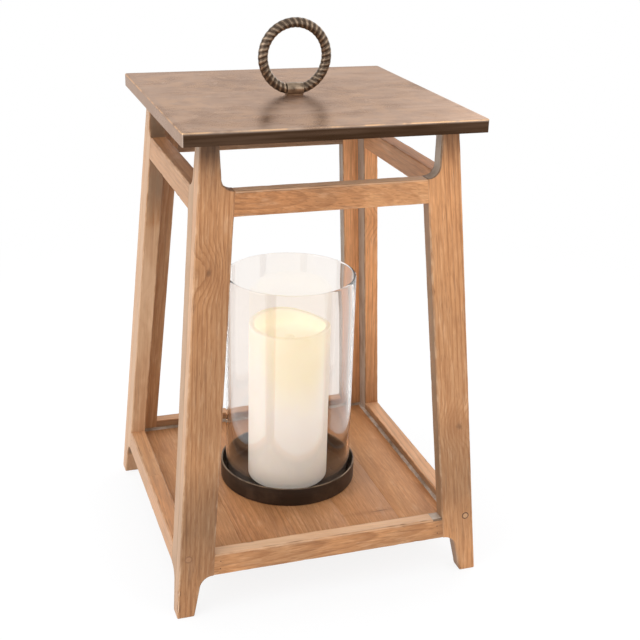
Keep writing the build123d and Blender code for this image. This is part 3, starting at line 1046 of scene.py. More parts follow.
@dataclass(frozen=True)
class Splay:
    """The leaning outer faces that every frame piece follows, and the widths of the legs."""

    foot: float = 279 * MM
    head: float = 215 * MM
    height: float = 405.5 * MM
    face: float = 12.5 * MM
    side: float = 14.5 * MM
    leg: float = 30 * MM
    neck: float = 18.4 * MM
    tip: float = 15 * MM
    lower: tuple[float, float] = (36.5 * MM, 55.5 * MM)
    upper: tuple[float, float] = (345.5 * MM, 365.5 * MM)
    floor_top: float = 46 * MM
    step: float = 4 * MM
    foot_marks: tuple[float, ...] = (0.0, 0.35 * MM, 1.0 * MM)
    arc_steps: int = 10

    @property
    def radius(self) -> float:
        """Radius of the sawn arcs."""
        return self.leg - self.neck

    @property
    def arcs(self) -> tuple[float, float]:
        """Foot of the lower arcs and head of the upper ones."""
        return self.lower[0] - self.radius, self.upper[1] + self.radius

    def half(self, z: float) -> float:
        """Half the spread of the outer faces at a height."""
        return (self.foot + (self.head - self.foot) * z / self.height) / 2

    def leg_width(self, z: float) -> float:
        """Width of a leg at a height, with its sawn arcs.

        Args:
            z: Height above the floor.

        Returns:
            The width on either face.
        """
        low, high = self.arcs
        if z <= low:
            return self.tip + (self.neck - self.tip) * z / low
        if z >= high:
            return self.neck + (self.tip - self.neck) * (z - high) / (self.height - high)
        gap = min(self.radius, z - low, high - z)
        return self.leg - math.sqrt(self.radius**2 - gap**2)

    def at_rail(self, z: float) -> bool:
        """Whether a rail meets the leg at a height."""
        return any(low - WELD <= z <= high + WELD for low, high in (self.lower, self.upper))

    def at_arc(self, z: float) -> bool:
        """Whether the leg is sawn to an arc at a height."""
        return self.arcs[0] <= z < self.lower[0] or self.upper[1] < z <= self.arcs[1]

    def leg_heights(self) -> list[float]:
        """Heights of the stations of a leg, close together in its arcs.

        Returns:
            The heights from the foot up.
        """
        low, high = self.arcs
        steps = range(self.arc_steps + 1)
        gaps = [math.sin(step / self.arc_steps * TURN / 4) * self.radius for step in steps]
        heights = [*self.foot_marks, *spaced(2 * MM, low, self.step)[:-1]]
        heights += [low + gap for gap in gaps]
        marks = (*self.lower, *self.upper)
        for start, end in zip(marks, marks[1:]):
            heights += spaced(start, end, self.step)[1:]
        heights += [high - gap for gap in reversed(gaps)][1:]
        return heights + spaced(high, self.height, self.step)[1:]


def spaced(start: float, end: float, step: float) -> list[float]:
    """Even places from start to end, about a step apart."""
    count = max(1, round((end - start) / step))
    return [start + (end - start) * index / count for index in range(count + 1)]


def between(stops: Stops, place: float, usual: float) -> float:
    """Value at a place between stops.

    Args:
        stops: Places in millimetres along a board, in order, and the values there.
        place: Place in metres.
        usual: Value where there are no stops.

    Returns:
        The value, which holds beyond the first and the last stop.
    """
    if not stops:
        return usual
    spot = min(max(place / MM, stops[0][0]), stops[-1][0])
    for (start, low), (end, high) in zip(stops, stops[1:]):
        if spot <= end:
            return low + (high - low) * (spot - start) / (end - start)
    return stops[-1][1]


@dataclass(frozen=True)
class Knot:
    """A knot at a place along and across its board in millimetres, with how it is squeezed either way."""

    along: float
    across: float
    squeeze: tuple[float, float] = (0.42, 1.0)

    def offset(self, along: float, across: float, through: float) -> Vector:
        """Squeezed way from the knot to a place in the board, in metres."""
        ways = (along - self.along * MM, across - self.across * MM)
        return Vector((ways[0] * self.squeeze[0], ways[1] * self.squeeze[1], through))


@dataclass(frozen=True)
class Timber:
    """What one board was sawn from, and how it has worn, with places in millimetres.

    The shades, tones and edge tints are stops along the board, the shades as shares of its shade. The shade
    is partly the wood's own colour and partly painted light and shade.
    """

    tone: float
    shade: float
    pith_across: float
    pith_through: float
    knot: Knot = Knot(-9000, 0)
    slant: float = 0.0
    rake: float = 0.03
    calm: float = 0.0
    shades: Stops = ()
    tones: Stops = ()
    # Tints: above 0 dark brown, above 1 chalky grey, below 0 pale; partly stained, chalky and worn wood,
    # partly painted shade on inner and head faces and painted sheen on faces towards the left lamp.
    head_stain: float = 0.7
    edge_stain: float = 0.45
    edge_stains: Stops = ()
    back_stain: float = 0.45
    # Outer face painted pale as a painted sheen from the left lamp.
    bleach: float = 0.0
    # Top face painted pale, partly rubbed wood and partly painted light on a face that looks up.
    rub: float = 0.0
    filled: float = 0.0
    splice: float = math.inf
    splice_tone: float = 1.0
    chips: tuple[float, ...] = ()


@dataclass
class Station:
    """Four corners across a board, with how each is rounded and each side tinted.

    A side tinted below nought is pale, partly rubbed and partly painted light and sheen; one above
    nought is dark brown, partly stained and partly painted shade; and one above 1 is chalky grey,
    partly chalky wood and partly painted sheen.
    """

    corners: list[Vector]
    ease: Sequence[float]
    stain: Sequence[float]
    inset: float
    tone: float
    shade: float
    shift: float = 0.0


@dataclass
class Board:
    """Worn wooden board in place of a CAD node, lofted through stations along its length."""

    node: str
    timber: Timber
    grain: Callable[[Vector], Vector]
    stations: list[Station]
    seed: int

    ARC_STEPS = 3
    EDGE_BANDS = ((1.2 * MM, 0.4, 0.36), (3.6 * MM, 0.0, 0.44))
    SHARP = 0.2 * MM
    DENT_DEPTH = 3.2 * MM
    CHIP_REACH = 3.0 * MM
    CHIP_DEPTH = 2.0 * MM

    def wear(self, corner: Vector, ease: float) -> float:
        """Rounding of one corner, with dents.

        Args:
            corner: Place of the sharp corner.
            ease: Even part of the rounding.

        Returns:
            The radius there.
        """
        if ease < self.SHARP:
            return ease
        rub = noise.noise(corner * 75 + Vector((self.seed * 3.7, 0, 0)))
        dent = noise.noise(corner * 210 + Vector((0, self.seed * 5.3, 0)))
        return ease * (1 + 0.55 * rub) + max(0.0, dent - 0.42) * self.DENT_DEPTH

    def chip(self, corner: Vector) -> float:
        """How deep a chip goes into the outer corner at its height, from 0 to 1."""
        gaps = [abs(corner.z - height * MM) / self.CHIP_REACH for height in self.timber.chips]
        return max(0.0, 1 - min(gaps)) if gaps else 0.0

    def ring(self, station: Station) -> list[tuple[Vector, float, float]]:
        """Closed ring of points through one station.

        Args:
            station: The station.

        Returns:
            The points, how near each is to an edge, and how its side is tinted, partly stained and worn
            wood and partly painted light and shade.
        """
        corners, stains = station.corners, station.stain
        points = []
        for index, (here, ease) in enumerate(zip(corners, station.ease)):
            back, ahead = corners[index - 1] - here, corners[(index + 1) % 4] - here
            span = ahead.length
            limit = 0.3 * min(back.length, span)
            back.normalize()
            ahead.normalize()
            inset = min(station.inset, limit)
            chip = self.chip(here) if index == 0 else 0.0
            radius = min(self.wear(here, ease) + chip * self.CHIP_DEPTH, limit)
            near_edge = 1.0 + 0.8 * chip if ease > self.SHARP else 0.0
            stain = (stains[index - 1] + stains[index]) / 2
            spot = here + (back + ahead) * inset
            for point in arc(spot, back * radius, ahead * radius, self.ARC_STEPS):
                points.append((point, near_edge, stain))
            bands = [(min(gap, span * share), near) for gap, near, share in self.EDGE_BANDS]
            mirrored = [(span - gap, near) for gap, near in reversed(bands)]
            for gap, near in (*bands, (span / 2, 0.0), *mirrored):
                points.append((here + ahead * gap + back * inset, near, stains[index]))
        return points

    def build(self, material: Material) -> None:
        """Make the board.

        Args:
            material: Its wood.
        """
        timber = self.timber
        rings, marks = [], {label: [] for label in (EDGE, STAIN, TONE, SHADE, GRAIN, KNOT)}
        pith = (-timber.pith_across * MM, -timber.pith_through * MM)
        lean = Vector((0.0, timber.slant, timber.rake))
        for station in self.stations:
            ring = self.ring(station)
            rings.append([point for point, _, _ in ring])
            heart = Vector((self.seed * 1.37 + station.shift, *pith))
            for point, edge, stain in ring:
                place = self.grain(point)
                grain, knot = place + heart + lean * place.x, timber.knot.offset(*place)
                values = (edge, stain, station.tone, station.shade, grain, knot)
                for label, value in zip(marks, values):
                    marks[label].append(value)
        piece = skin(f"{self.node}_board", rings, material, marks=marks)
        settle(piece, "frame_wood", self.node)


@dataclass
class Legs:
    """Four leaning legs, each of a face board and a side board, listed in the order of the corners."""

    splay: Splay
    wood: Material
    ease: float = 0.95 * MM
    seam: float = 0.08 * MM
    foot_inset: Stops = ((0.0, 0.9 * MM), (0.35 * MM, 0.3 * MM))
    arc_stain: float = 0.8
    # Shades are partly the wood's own colour and partly painted light and shade: the rear legs' high shades
    # stand partly for painted light, and the heads are darkened as a painted shadow under the sheet. The
    # rear right leg grows darker towards the floor, and the front legs have darker and lighter bands.
    face_timber: tuple[Timber, ...] = (
        Timber(
            0.68, 1.15, 46, 24, Knot(303, 12, (0.5, 0.8)), slant=0.012, rake=0.06, chips=(10, 15, 24),
            shades=((0, 0.86), (40, 0.8), (80, 0.64), (105, 0.68), (140, 0.94), (325, 0.95), (355, 1.1),
                    (378, 0.9), (396, 0.28)),
            tones=((0, 0.3), (80, 0.25), (150, 0.42), (280, 0.48), (345, 0.72)),
        ),
        Timber(
            0.62, 1.36, 48, 22, Knot(144, 10, (0.5, 0.5)), slant=-0.015, rake=0.05,
            head_stain=1.8, edge_stain=0.8,
            shades=((0, 1.0), (30, 0.97), (80, 0.71), (125, 0.75), (165, 1.02), (240, 0.92), (350, 1.1),
                    (372, 1.03), (395, 0.56)),
            tones=((0, 0.6), (40, 0.6), (75, 0.3), (165, 0.22), (215, 0.3), (320, 0.66)),
        ),
        Timber(
            0.15, 1.35, 47, -19, Knot(265, 9), shades=((340, 1.0), (370, 0.8), (405, 0.4)), back_stain=0.2
        ),
        Timber(
            0.55, 1.95, -26, -13, edge_stain=1.4, back_stain=-0.12,
            shades=((46, 0.5), (105, 0.72), (150, 0.95), (366, 1.0), (405, 0.6)),
        ),
    )
    side_timber: tuple[Timber, ...] = (
        Timber(0.30, 0.72, 55, -21, Knot(303, 26, (0.9, 2.0)), bleach=0.42),
        Timber(0.48, 1.15, 52, -24, shades=((366, 1.0), (405, 0.6))),
        Timber(
            0.0, 1.27, -34, -22, Knot(196, 22), head_stain=0.95, bleach=0.45,
            edge_stains=((105, -0.2), (148, -0.34), (192, -0.5), (235, -0.48), (275, -0.2), (315, 0.8)),
        ),
        Timber(
            0.66, 1.5, 49, -17, Knot(268, 26, (0.6, 1.2)), edge_stain=0.0, back_stain=1.65,
            shades=((46, 0.57), (105, 0.78), (140, 0.92), (180, 1.1), (256, 1.08)),
        ),
    )

    def board(self, index: int, corner: Corner, facing: bool) -> Board:
        """One board of a leg.

        Args:
            index: Number of the leg, from 0.
            corner: Its corner of the lantern.
            facing: Whether it is the face board.

        Returns:
            The board.
        """
        splay, (sx, sy) = self.splay, corner.value
        side = self.side_timber[index]
        timber = self.face_timber[index] if facing else side

        def grain(point: Vector) -> Vector:
            """Place along, across and into the board.

            Args:
                point: Place in the lantern.

            Returns:
                The place in the board.
            """
            half = splay.half(point.z)
            across, depth = half - sx * point.x, half - sy * point.y
            return Vector((point.z, across, depth)) if facing else Vector((point.z, depth, across))

        stations = []
        for z in splay.leg_heights():
            half, width = splay.half(z), splay.leg_width(z)
            inner = self.seam if splay.at_rail(z) else self.ease
            narrow = between(timber.edge_stains, z, timber.edge_stain)
            if splay.at_arc(z):
                narrow = self.arc_stain
            # Head faces above the upper rail take the head tint, partly painted shade under the sheet and,
            # on the front right leg, painted sheen.
            if z > splay.upper[1]:
                narrow = timber.head_stain
            # Outer side faces of the left legs are painted pale, a painted sheen from the left lamp.
            if facing:
                near, far, end = 0.0, splay.face, width
                ease = (self.ease, inner, 0.6 * inner, self.seam)
                stain = (-timber.bleach, narrow, timber.back_stain, -side.bleach)
            else:
                near, far, end = splay.face, width, splay.side
                ease = (self.seam, self.seam, 0.6 * inner, inner)
                stain = (0.0, timber.back_stain, narrow, -timber.bleach)
            spots = ((0.0, near), (end, near), (end, far), (0.0, far))
            corners = [Vector((sx * (half - across), sy * (half - depth), z)) for across, depth in spots]
            tone = between(timber.tones, z, timber.tone)
            shade = timber.shade * between(timber.shades, z, 1.0)
            stations.append(Station(corners, ease, stain, dict(self.foot_inset).get(z, 0.0), tone, shade))
        node = f"{'leg' if facing else 'leg_side'}_{corner.label}"
        return Board(node, timber, grain, stations, 2 * index + int(facing) + 1)

    def build(self) -> None:
        """Make the eight boards."""
        for index, corner in enumerate(Corner):
            for facing in (True, False):
                self.board(index, corner, facing).build(self.wood)


@dataclass
class Rails:
    """Four lower and four upper rails, flush with the legs, listed in the order of the sides."""

    splay: Splay
    wood: Material
    ease: float = 0.85 * MM
    worn_ease: float = 1.35 * MM
    joint: float = 0.12 * MM
    cut: float = 0.08 * MM
    end_band: float = 0.5 * MM
    end_step: float = 2 * MM
    filler_stain: float = 2.0
    splice_shift: float = 0.61
    # Shades are partly the wood's own colour and partly painted light and shade: the rear upper rail is
    # darkened as painted shade under the sheet. The lower front rail grows darker at its ends and the upper
    # front rail brighter towards its right end.
    lower_timber: tuple[Timber, ...] = (
        Timber(
            0.64, 1.18, 14, -12, rake=0.08, back_stain=0.75, rub=0.65, filled=9,
            shades=((-108, 0.82), (-92, 1.0), (92, 1.0), (106, 0.76)),
        ),
        Timber(0.62, 1.3, 40, -9, back_stain=0.75, rub=0.3),
        Timber(0.40, 1.2, 46, -21, back_stain=0.75, rub=0.2),
        Timber(0.42, 1.06, -22, -12, back_stain=0.75, bleach=0.34, rub=0.12, splice=-12, splice_tone=0.95),
    )
    upper_timber: tuple[Timber, ...] = (
        Timber(
            0.85, 1.06, 9, -15, slant=0.1, rake=0.16, back_stain=0.2, rub=0.8,
            shades=((-80, 0.95), (10, 1.0), (45, 1.4), (80, 1.36)),
            tones=((-80, 0.92), (10, 0.9), (45, 0.5)),
        ),
        Timber(0.7, 1.5, -24, -12, back_stain=0.3),
        Timber(0.52, 0.85, 33, -19, back_stain=0.7),
        Timber(0.36, 1.05, -30, -16, back_stain=0.2, bleach=0.2),
    )

    def board(self, side: Side, upper: bool) -> Board:
        """One rail.

        Args:
            side: Side of the lantern.
            upper: Whether it is an upper rail.

        Returns:
            The board.
        """
        splay, turn = self.splay, side.turn
        low, high = splay.upper if upper else splay.lower
        timber = (self.upper_timber if upper else self.lower_timber)[side.value]
        back = turn.inverted()
        thick = splay.face if side in (Side.FRONT, Side.REAR) else splay.side
        reach = splay.half(low) - splay.leg

        def grain(point: Vector) -> Vector:
            """Place along, across and into the board."""
            local = back @ point
            return Vector((local.x, point.z - low, local.y + splay.half(point.z)))

        # Places along the rail are shares of its half length, from 0 at its left end to 2.
        ends = [0.0, self.end_band / reach]
        shares = spaced(self.end_step / reach, 2 - self.end_step / reach, splay.step / reach)
        shares += ends + [2 - share for share in ends]
        splice, filled = 1 + timber.splice * MM / reach, 2 - timber.filled * MM / reach
        for cut in (splice, filled):
            if cut < 2:
                shares += [cut - self.cut / reach, cut + self.cut / reach]
        stations = []
        for share in sorted(shares):
            corners = []
            for z, depth in ((low, 0.0), (high, 0.0), (high, thick), (low, thick)):
                x = (share - 1) * (splay.half(z) - splay.leg)
                corners.append(turn @ Vector((x, depth - splay.half(z), z)))
            ease = (self.ease, self.worn_ease, self.ease, 0.6 * self.ease)
            # Past the filled end a rail top is chalky filler; elsewhere its rub paints it pale, partly
            # rubbed wood and partly painted light on a face that looks up. Outer faces of the left rails
            # are painted pale, a painted sheen from the left lamp.
            top_tint = self.filler_stain if share > filled else -timber.rub
            stain = (-timber.bleach, top_tint, timber.back_stain, 0.0)
            inset = self.joint if share in (0.0, 2.0) else 0.0
            along, spliced = (share - 1) * reach, share > splice
            tone = timber.splice_tone if spliced else between(timber.tones, along, timber.tone)
            shade = timber.shade * between(timber.shades, along, 1.0)
            shift = self.splice_shift if spliced else 0.0
            stations.append(Station(corners, ease, stain, inset, tone, shade, shift))
        node = f"{'upper' if upper else 'lower'}_rail_{side.label}"
        return Board(node, timber, grain, stations, 20 + 4 * int(upper) + side.value)

    def build(self) -> None:
        """Make the eight rails."""
        for upper in (False, True):
            for side in Side:
                self.board(side, upper).build(self.wood)


@dataclass
class Floor:
    """Floor boards, with a bead of filler round them."""

    splay: Splay
    wood: Material
    filler: Material
    ease: float = 0.25 * MM
    swell: float = 0.2 * MM
    bead: float = 2.2 * MM
    bead_gap: float = 0.5 * MM
    waver: float = 0.8
    lump: float = 1.1
    lump_reach: float = 34 * MM
    # Shades are partly the boards' own colour and partly painted light.
    timber: tuple[Timber, ...] = (
        Timber(0.30, 1.13, -10, -14, rake=0.06, calm=0.55),
        Timber(0.72, 1.02, 6, -10, rake=-0.05, calm=0.25),
        Timber(0.58, 1.04, 19, -22, rake=0.08, calm=0.4),
        Timber(0.48, 0.99, -6, -52, Knot(-92, 62, (2.0, 0.16)), rake=-0.04, calm=0.6),
        Timber(0.42, 1.17, 4, -60, rake=0.05, calm=0.72),
    )

    def board(self, number: int, timber: Timber) -> None:
        """One floor board as a worn copy of its CAD node, swollen against its neighbours.

        Args:
            number: Number from the left, starting at 1.
            timber: Its wood.
        """
        node = f"floor_board_{number}"
        piece = smooth_copy(node, f"{node}_plank", self.wood, self.ease)
        low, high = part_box(node)
        middle = (low.x + high.x) / 2
        vertices = piece.data.vertices
        grain, knot = [], []
        for vertex in vertices:
            x, y, z = vertex.co
            depth = high.z - z - timber.pith_through * MM + timber.rake * y
            grain.append(Vector((y + 2.9 * number, x - middle - timber.pith_across * MM, depth)))
            knot.append(timber.knot.offset(y, x, high.z - z))
            at_seam = abs(x - middle) > (high.x - low.x) / 2 - 2 * self.ease
            inner = (x - middle) * x > 0 and number in (1, len(self.timber))
            if at_seam and not inner:
                vertex.co.x += math.copysign(self.swell, x - middle)
        even = {TONE: timber.tone, SHADE: timber.shade, CALM: timber.calm}
        marks = {label: [value] * len(vertices) for label, value in even.items()}
        mark(piece.data, {GRAIN: grain, KNOT: knot, **marks})
        settle(piece, "floor_wood", node)

    def build_bead(self) -> None:
        """Lay an uneven bead round the floor with Geometry Nodes, with a lump at one corner."""
        half = self.splay.half(self.splay.floor_top)
        width = 2 * (half - self.splay.side) - self.bead_gap
        depth = 2 * (half - self.splay.face) - self.bead_gap
        values = {
            "Width": width,
            "Depth": depth,
            "Height": self.splay.floor_top,
            "Bead": self.bead,
            "Waver": self.waver,
            "Lump": self.lump,
            "Lump reach": self.lump_reach,
            "Lump place": (width / 2, -depth / 2, 0.0),
            "Material": self.filler,
        }
        t = GeometryTree("corner_bead", values)
        i = t.inputs
        path = t.add("GeometryNodeCurvePrimitiveQuadrilateral", {"Width": i["Width"], "Height": i["Depth"]})
        fine = t.add("GeometryNodeSubdivideCurve", {"Curve": path, "Cuts": 90})
        gap = t.add("ShaderNodeVectorMath", {0: t.place, 1: i["Lump place"]}, operation="DISTANCE")["Value"]
        near = (gap / i["Lump reach"] * -1.0).math("ADD", 1.0, clamp=True)
        size = i["Bead"] * (0.6 + t.place.noise(90.0) * i["Waver"] + near * i["Lump"])
        radius = t.add("GeometryNodeSetCurveRadius", {"Curve": fine, "Radius": size})
        profile = t.add("GeometryNodeCurvePrimitiveCircle", {"Resolution": 8, "Radius": 1.0}, mode="RADIUS")
        curves = {"Curve": radius, "Profile Curve": profile, "Scale": size}
        mesh = t.add("GeometryNodeCurveToMesh", curves)
        rise = t.joined(0.0, 0.0, i["Height"])
        lifted = t.add("GeometryNodeTransform", {"Geometry": mesh, "Translation": rise})
        t.close(t.add("GeometryNodeSetShadeSmooth", {0: lifted}))
        settle(t.run("floor_bead", values), None)

    def build(self) -> None:
        """Make the boards and the bead."""
        for number, timber in enumerate(self.timber, 1):
            self.board(number, timber)
        self.build_bead()


@dataclass
class Fixings:
    """Wooden plugs over the leg screws and small brads at the ends of the lower rails."""

    splay: Splay
    plug: Material
    fresh_plug: Material
    brad: Material
    plug_radius: float = 3.3 * MM
    plug_height: float = 0.22 * MM
    brad_radius: float = 0.5 * MM
    brad_height: float = 0.1 * MM
    brad_inset: float = 5.5 * MM
    brad_margins: tuple[float, float] = (5.5 * MM, 6.5 * MM)

    def tree(self) -> GeometryTree:
        """Tree that sets a low dome on each point of a mesh, along the point's own direction.

        Returns:
            The finished tree.
        """
        t = GeometryTree("low_domes", {"Radius": 1.0, "Height": 1.0, "Material": self.plug})
        ball = t.add("GeometryNodeMeshUVSphere", {"Segments": 20, "Rings": 10, "Radius": 1.0})
        x, y, _ = t.place.split()
        marked = t.store(ball, RADIAL, hypot(x, y))
        size = t.joined(t.inputs["Radius"], t.inputs["Radius"], t.inputs["Height"])
        dome = t.add("GeometryNodeTransform", {"Geometry": marked, "Scale": size})
        facing = t.add("GeometryNodeInputNamedAttribute", {"Name": FACING}, data_type="FLOAT_VECTOR")
        turn = t.add("FunctionNodeAlignRotationToVector", {"Vector": facing}, axis="Z")
        points = t.add("GeometryNodeMeshToPoints", {"Mesh": t.inputs["Geometry"]})
        inputs = {"Points": points, "Instance": dome, "Rotation": turn}
        return t.close(t.add("GeometryNodeInstanceOnPoints", inputs))

    def points(self, name: str, places: Places) -> Mesh:
        """Mesh of bare points, each with a direction.

        Args:
            name: Name of the mesh.
            places: Points and the directions that they face.

        Returns:
            The mesh.
        """
        mesh = bpy.data.meshes.new(name)
        mesh.from_pydata([place for place, _ in places], [], [])
        mark(mesh, {FACING: [facing for _, facing in places]})
        return mesh

    def face_normal(self, side: Side) -> Vector:
        """Outward normal of a leaning face."""
        lean = (self.splay.foot - self.splay.head) / 2 / self.splay.height
        return side.turn @ Vector((0.0, -1.0, lean)).normalized()

    def plug_places(self, corners: Iterable[Corner]) -> Places:
        """Middles and directions of the plugs in some of the legs.

        Args:
            corners: Corners of those legs.

        Returns:
            A point on the leg's face and the face's normal for each.
        """
        places = []
        for corner in corners:
            low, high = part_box(f"leg_plug_{corner.label}")
            middle = (low + high) / 2
            sy = corner.value[1]
            spot = Vector((middle.x, sy * self.splay.half(middle.z), middle.z))
            places.append((spot, self.face_normal(Side.FRONT if sy < 0 else Side.REAR)))
        return places

    def brad_places(self) -> Places:
        """Places and directions of the brads, two at each end of each lower rail.

        Returns:
            A point on the rail's face and the face's normal for each.
        """
        places = []
        low, high = self.splay.lower
        for side in Side:
            for end in (-1, 1):
                for z in (low + self.brad_margins[0], high - self.brad_margins[1]):
                    x = end * (self.splay.half(z) - self.splay.leg - self.brad_inset)
                    places.append((side.turn @ Vector((x, -self.splay.half(z), z)), self.face_normal(side)))
        return places

    def build(self) -> None:
        """Make the plugs and the brads."""
        tree = self.tree()
        fresh = (Corner.FRONT_RIGHT,)
        old = tuple(corner for corner in Corner if corner not in fresh)
        groups = (("leg_plugs", old, self.plug), ("leg_plug_fresh", fresh, self.fresh_plug))
        for name, corners, wood in groups:
            values = {"Radius": self.plug_radius, "Height": self.plug_height, "Material": wood}
            piece = tree.run(name, values, self.points(f"{name}_points", self.plug_places(corners)))
            settle(piece, "plug_wood", *[f"leg_plug_{corner.label}" for corner in corners])
        values = {"Radius": self.brad_radius, "Height": self.brad_height, "Material": self.brad}
        piece = tree.run("rail_brads", values, self.points("brad_points", self.brad_places()))
        settle(piece, "steel_fastener")


# Top and carrying ring


@dataclass
class Top:
    """Metal sheet folded over a wooden board, with the eye and its fastening."""

    sheet: Material
    wood: Material
    bronze: Material
    steel: Material
    spread: float = 250 * MM
    base: float = 405.5 * MM
    crown: float = 416.5 * MM
    wall: float = 1.0 * MM
    corner_radius: float = 1.8 * MM
    fold_radius: float = 1.0 * MM
    dents: float = 0.16 * MM
    dent_margin: float = 4 * MM
    core_shade: float = 0.6
    corner_steps: int = 4
    side_steps: int = 40
    face_steps: int = 26

    def square(self, half: float, z: float, radius: float) -> list[Vector]:
        """Closed square ring with rounded corners.

        Args:
            half: Half its spread.
            z: Its height.
            radius: Radius of its corners.

        Returns:
            The points of the ring.
        """
        points = []
        for side in Side:
            for step in range(self.corner_steps + 1):
                angle = (step / self.corner_steps - 0.5) * TURN / 4 + TURN / 8
                x = half - radius + radius * math.cos(angle)
                y = half - radius + radius * math.sin(angle)
                points.append(side.turn @ Vector((x, y, z)))
            for step in range(1, self.side_steps):
                share = 1 - 2 * step / self.side_steps
                points.append(side.turn @ Vector(((half - radius) * share, half, z)))
        return points

    def sheet_rings(self) -> list[list[Vector]]:
        """Rings of the sheet, from its middle over the fold to the inside.

        Returns:
            The rings, still without dents.
        """
        half, fold, bend = self.spread / 2, self.fold_radius, self.corner_radius
        base, crown, under = self.base, self.crown, self.crown - self.wall
        sections = []
        for share in (0.02, 0.03, *[step / self.face_steps for step in range(1, self.face_steps)], 0.98):
            reach = (half - fold) * share
            sections.append((reach, crown, min(bend, reach * 0.4)))
        for step in range(5):
            angle = step / 4 * TURN / 4
            reach, z = half - fold + fold * math.sin(angle), crown - fold + fold * math.cos(angle)
            sections.append((reach, z, bend))
        sections += [(half, z, bend) for z in (crown - 3 * MM, (base + crown) / 2, base + 1 * MM, base)]
        sections += [(half - self.wall, z, bend * 0.5) for z in (base, under)]
        sections.append((half * 0.02, under, half * 0.008))
        return [self.square(*section) for section in sections]

    def build_sheet(self) -> None:
        """Make the sheet, faintly dented between its folds."""
        rings = self.sheet_rings()
        limit = self.spread / 2 - self.dent_margin
        for point in [point for ring in rings for point in ring]:
            if point.z > self.crown - WELD and max(abs(point.x), abs(point.y)) < limit:
                wave = noise.noise(Vector((point.x * 26, point.y * 26, 4.2)))
                point.z -= self.dents * (0.5 + 0.5 * wave)
        settle(skin("top_sheet_skin", rings, self.sheet), "bronze_sheet", "top_sheet")

    def build_board(self) -> None:
        """Make the wooden board under the sheet."""
        piece = smooth_copy("top_board", "top_board_core", self.wood)
        heart, far = Vector((31.0, -0.02, -0.38)), Vector((9.0, 9.0, 9.0))
        grain = [vertex.co + heart for vertex in piece.data.vertices]
        count = len(grain)
        mark(piece.data, {GRAIN: grain, KNOT: [far] * count, SHADE: [self.core_shade] * count})
        settle(piece, "core_wood", "top_board")

    def build(self) -> None:
        """Make the sheet, the board, the eye, the washer and the nut."""
        self.build_sheet()
        self.build_board()
        fittings = (
            ("handle_eye", self.bronze, "bronze_fitting", 0.45 * MM),
            ("handle_washer", self.steel, "steel_fastener", 0.2 * MM),
            ("handle_nut", self.steel, "steel_fastener", 0.4 * MM),
        )
        for node, material, slot, bevel in fittings:
            settle(smooth_copy(node, f"{node}_turned", material, bevel), slot, node)


@dataclass
class CarryingRing:
    """Round ring with a rope-like rib, closed by a plain pin in the eye."""

    bronze: Material
    ring_radius: float = 28.2 * MM
    rod_radius: float = 4.3 * MM
    pin_radius: float = 3.5 * MM
    ridges: int = 38
    starts: int = 2
    depth: float = 0.36 * MM
    cut: float = 7.7 * MM
    pivot: float = 421.7 * MM
    steps_per_ridge: int = 12
    section: int = 40

    def rod(self, t: GeometryTree) -> Wire:
        """Bend a grid into a ribbed rod and close it.

        Args:
            t: Tree with the ring's inputs.

        Returns:
            The rod.
        """
        i = t.inputs
        ring, rod, cut = i["Ring radius"], i["Rod radius"], i["Cut"]
        sizes = {"Size X": 1.0, "Size Y": 1.0, "Vertices X": i["Steps"], "Vertices Y": i["Section"]}
        grid = t.add("GeometryNodeMeshGrid", sizes)
        u, v, _ = t.place.split()
        u, phi = u + 0.5, (v + 0.5) * TURN
        start = (cut / (ring + rod)).math("ARCSINE")
        theta = start + u * (TURN - start * 2.0)
        phase = theta * i["Ridges"] + phi * i["Starts"]
        ridge = (phase * 0.5).math("SINE").math("ABSOLUTE").math("POWER", 0.6)
        marked = t.store(grid, RIDGE, ridge)

        within = u.math("MINIMUM", 1.0 - u).math("GREATER_THAN", 1e-5)
        radius = (rod - i["Depth"] * (1.0 - ridge)) * within
        reach = ring + radius * phi.math("COSINE")
        x = reach * theta.math("SINE")
        y = radius * phi.math("SINE") * -1.0
        fall = reach * theta.math("COSINE")
        clear = x.math("ABSOLUTE").math("MAXIMUM", cut * fall.math("GREATER_THAN", 0.0))
        rise = (ring.math("POWER", 2.0) - cut.math("POWER", 2.0)).math("SQRT")
        place = t.joined(x.math("SIGN") * clear, y, i["Pivot"] + rise - fall)
        bent = t.add("GeometryNodeSetPosition", {"Geometry": marked, "Position": place})
        return t.add("GeometryNodeMergeByDistance", {"Geometry": bent, "Distance": WELD})

    def build(self) -> None:
        """Make the ring and its pin with Geometry Nodes."""
        values = {
            "Ring radius": self.ring_radius,
            "Rod radius": self.rod_radius,
            "Pin radius": self.pin_radius,
            "Ridges": self.ridges,
            "Starts": self.starts,
            "Depth": self.depth,
            "Cut": self.cut,
            "Pivot": self.pivot,
            "Steps": self.ridges * self.steps_per_ridge + 1,
            "Section": self.section + 1,
            "Material": self.bronze,
        }
        t = GeometryTree("ribbed_ring", values)
        sizes = {"Vertices": self.section, "Radius": t.inputs["Pin radius"], "Depth": t.inputs["Cut"] * 2.0}
        pin = t.add("GeometryNodeMeshCylinder", sizes)
        rise = t.joined(0.0, 0.0, t.inputs["Pivot"])
        turn = (0.0, TURN / 4, 0.0)
        laid = t.add("GeometryNodeTransform", {"Geometry": pin, "Rotation": turn, "Translation": rise})
        both = t.add("GeometryNodeJoinGeometry", {0: self.rod(t)})
        t.feed(both.socket.node.inputs[0], laid)
        t.close(both)
        settle(t.run("carrying_ring", values), "bronze_ring", "handle_ring", body=Body.RING)


# Pan, glass and candle


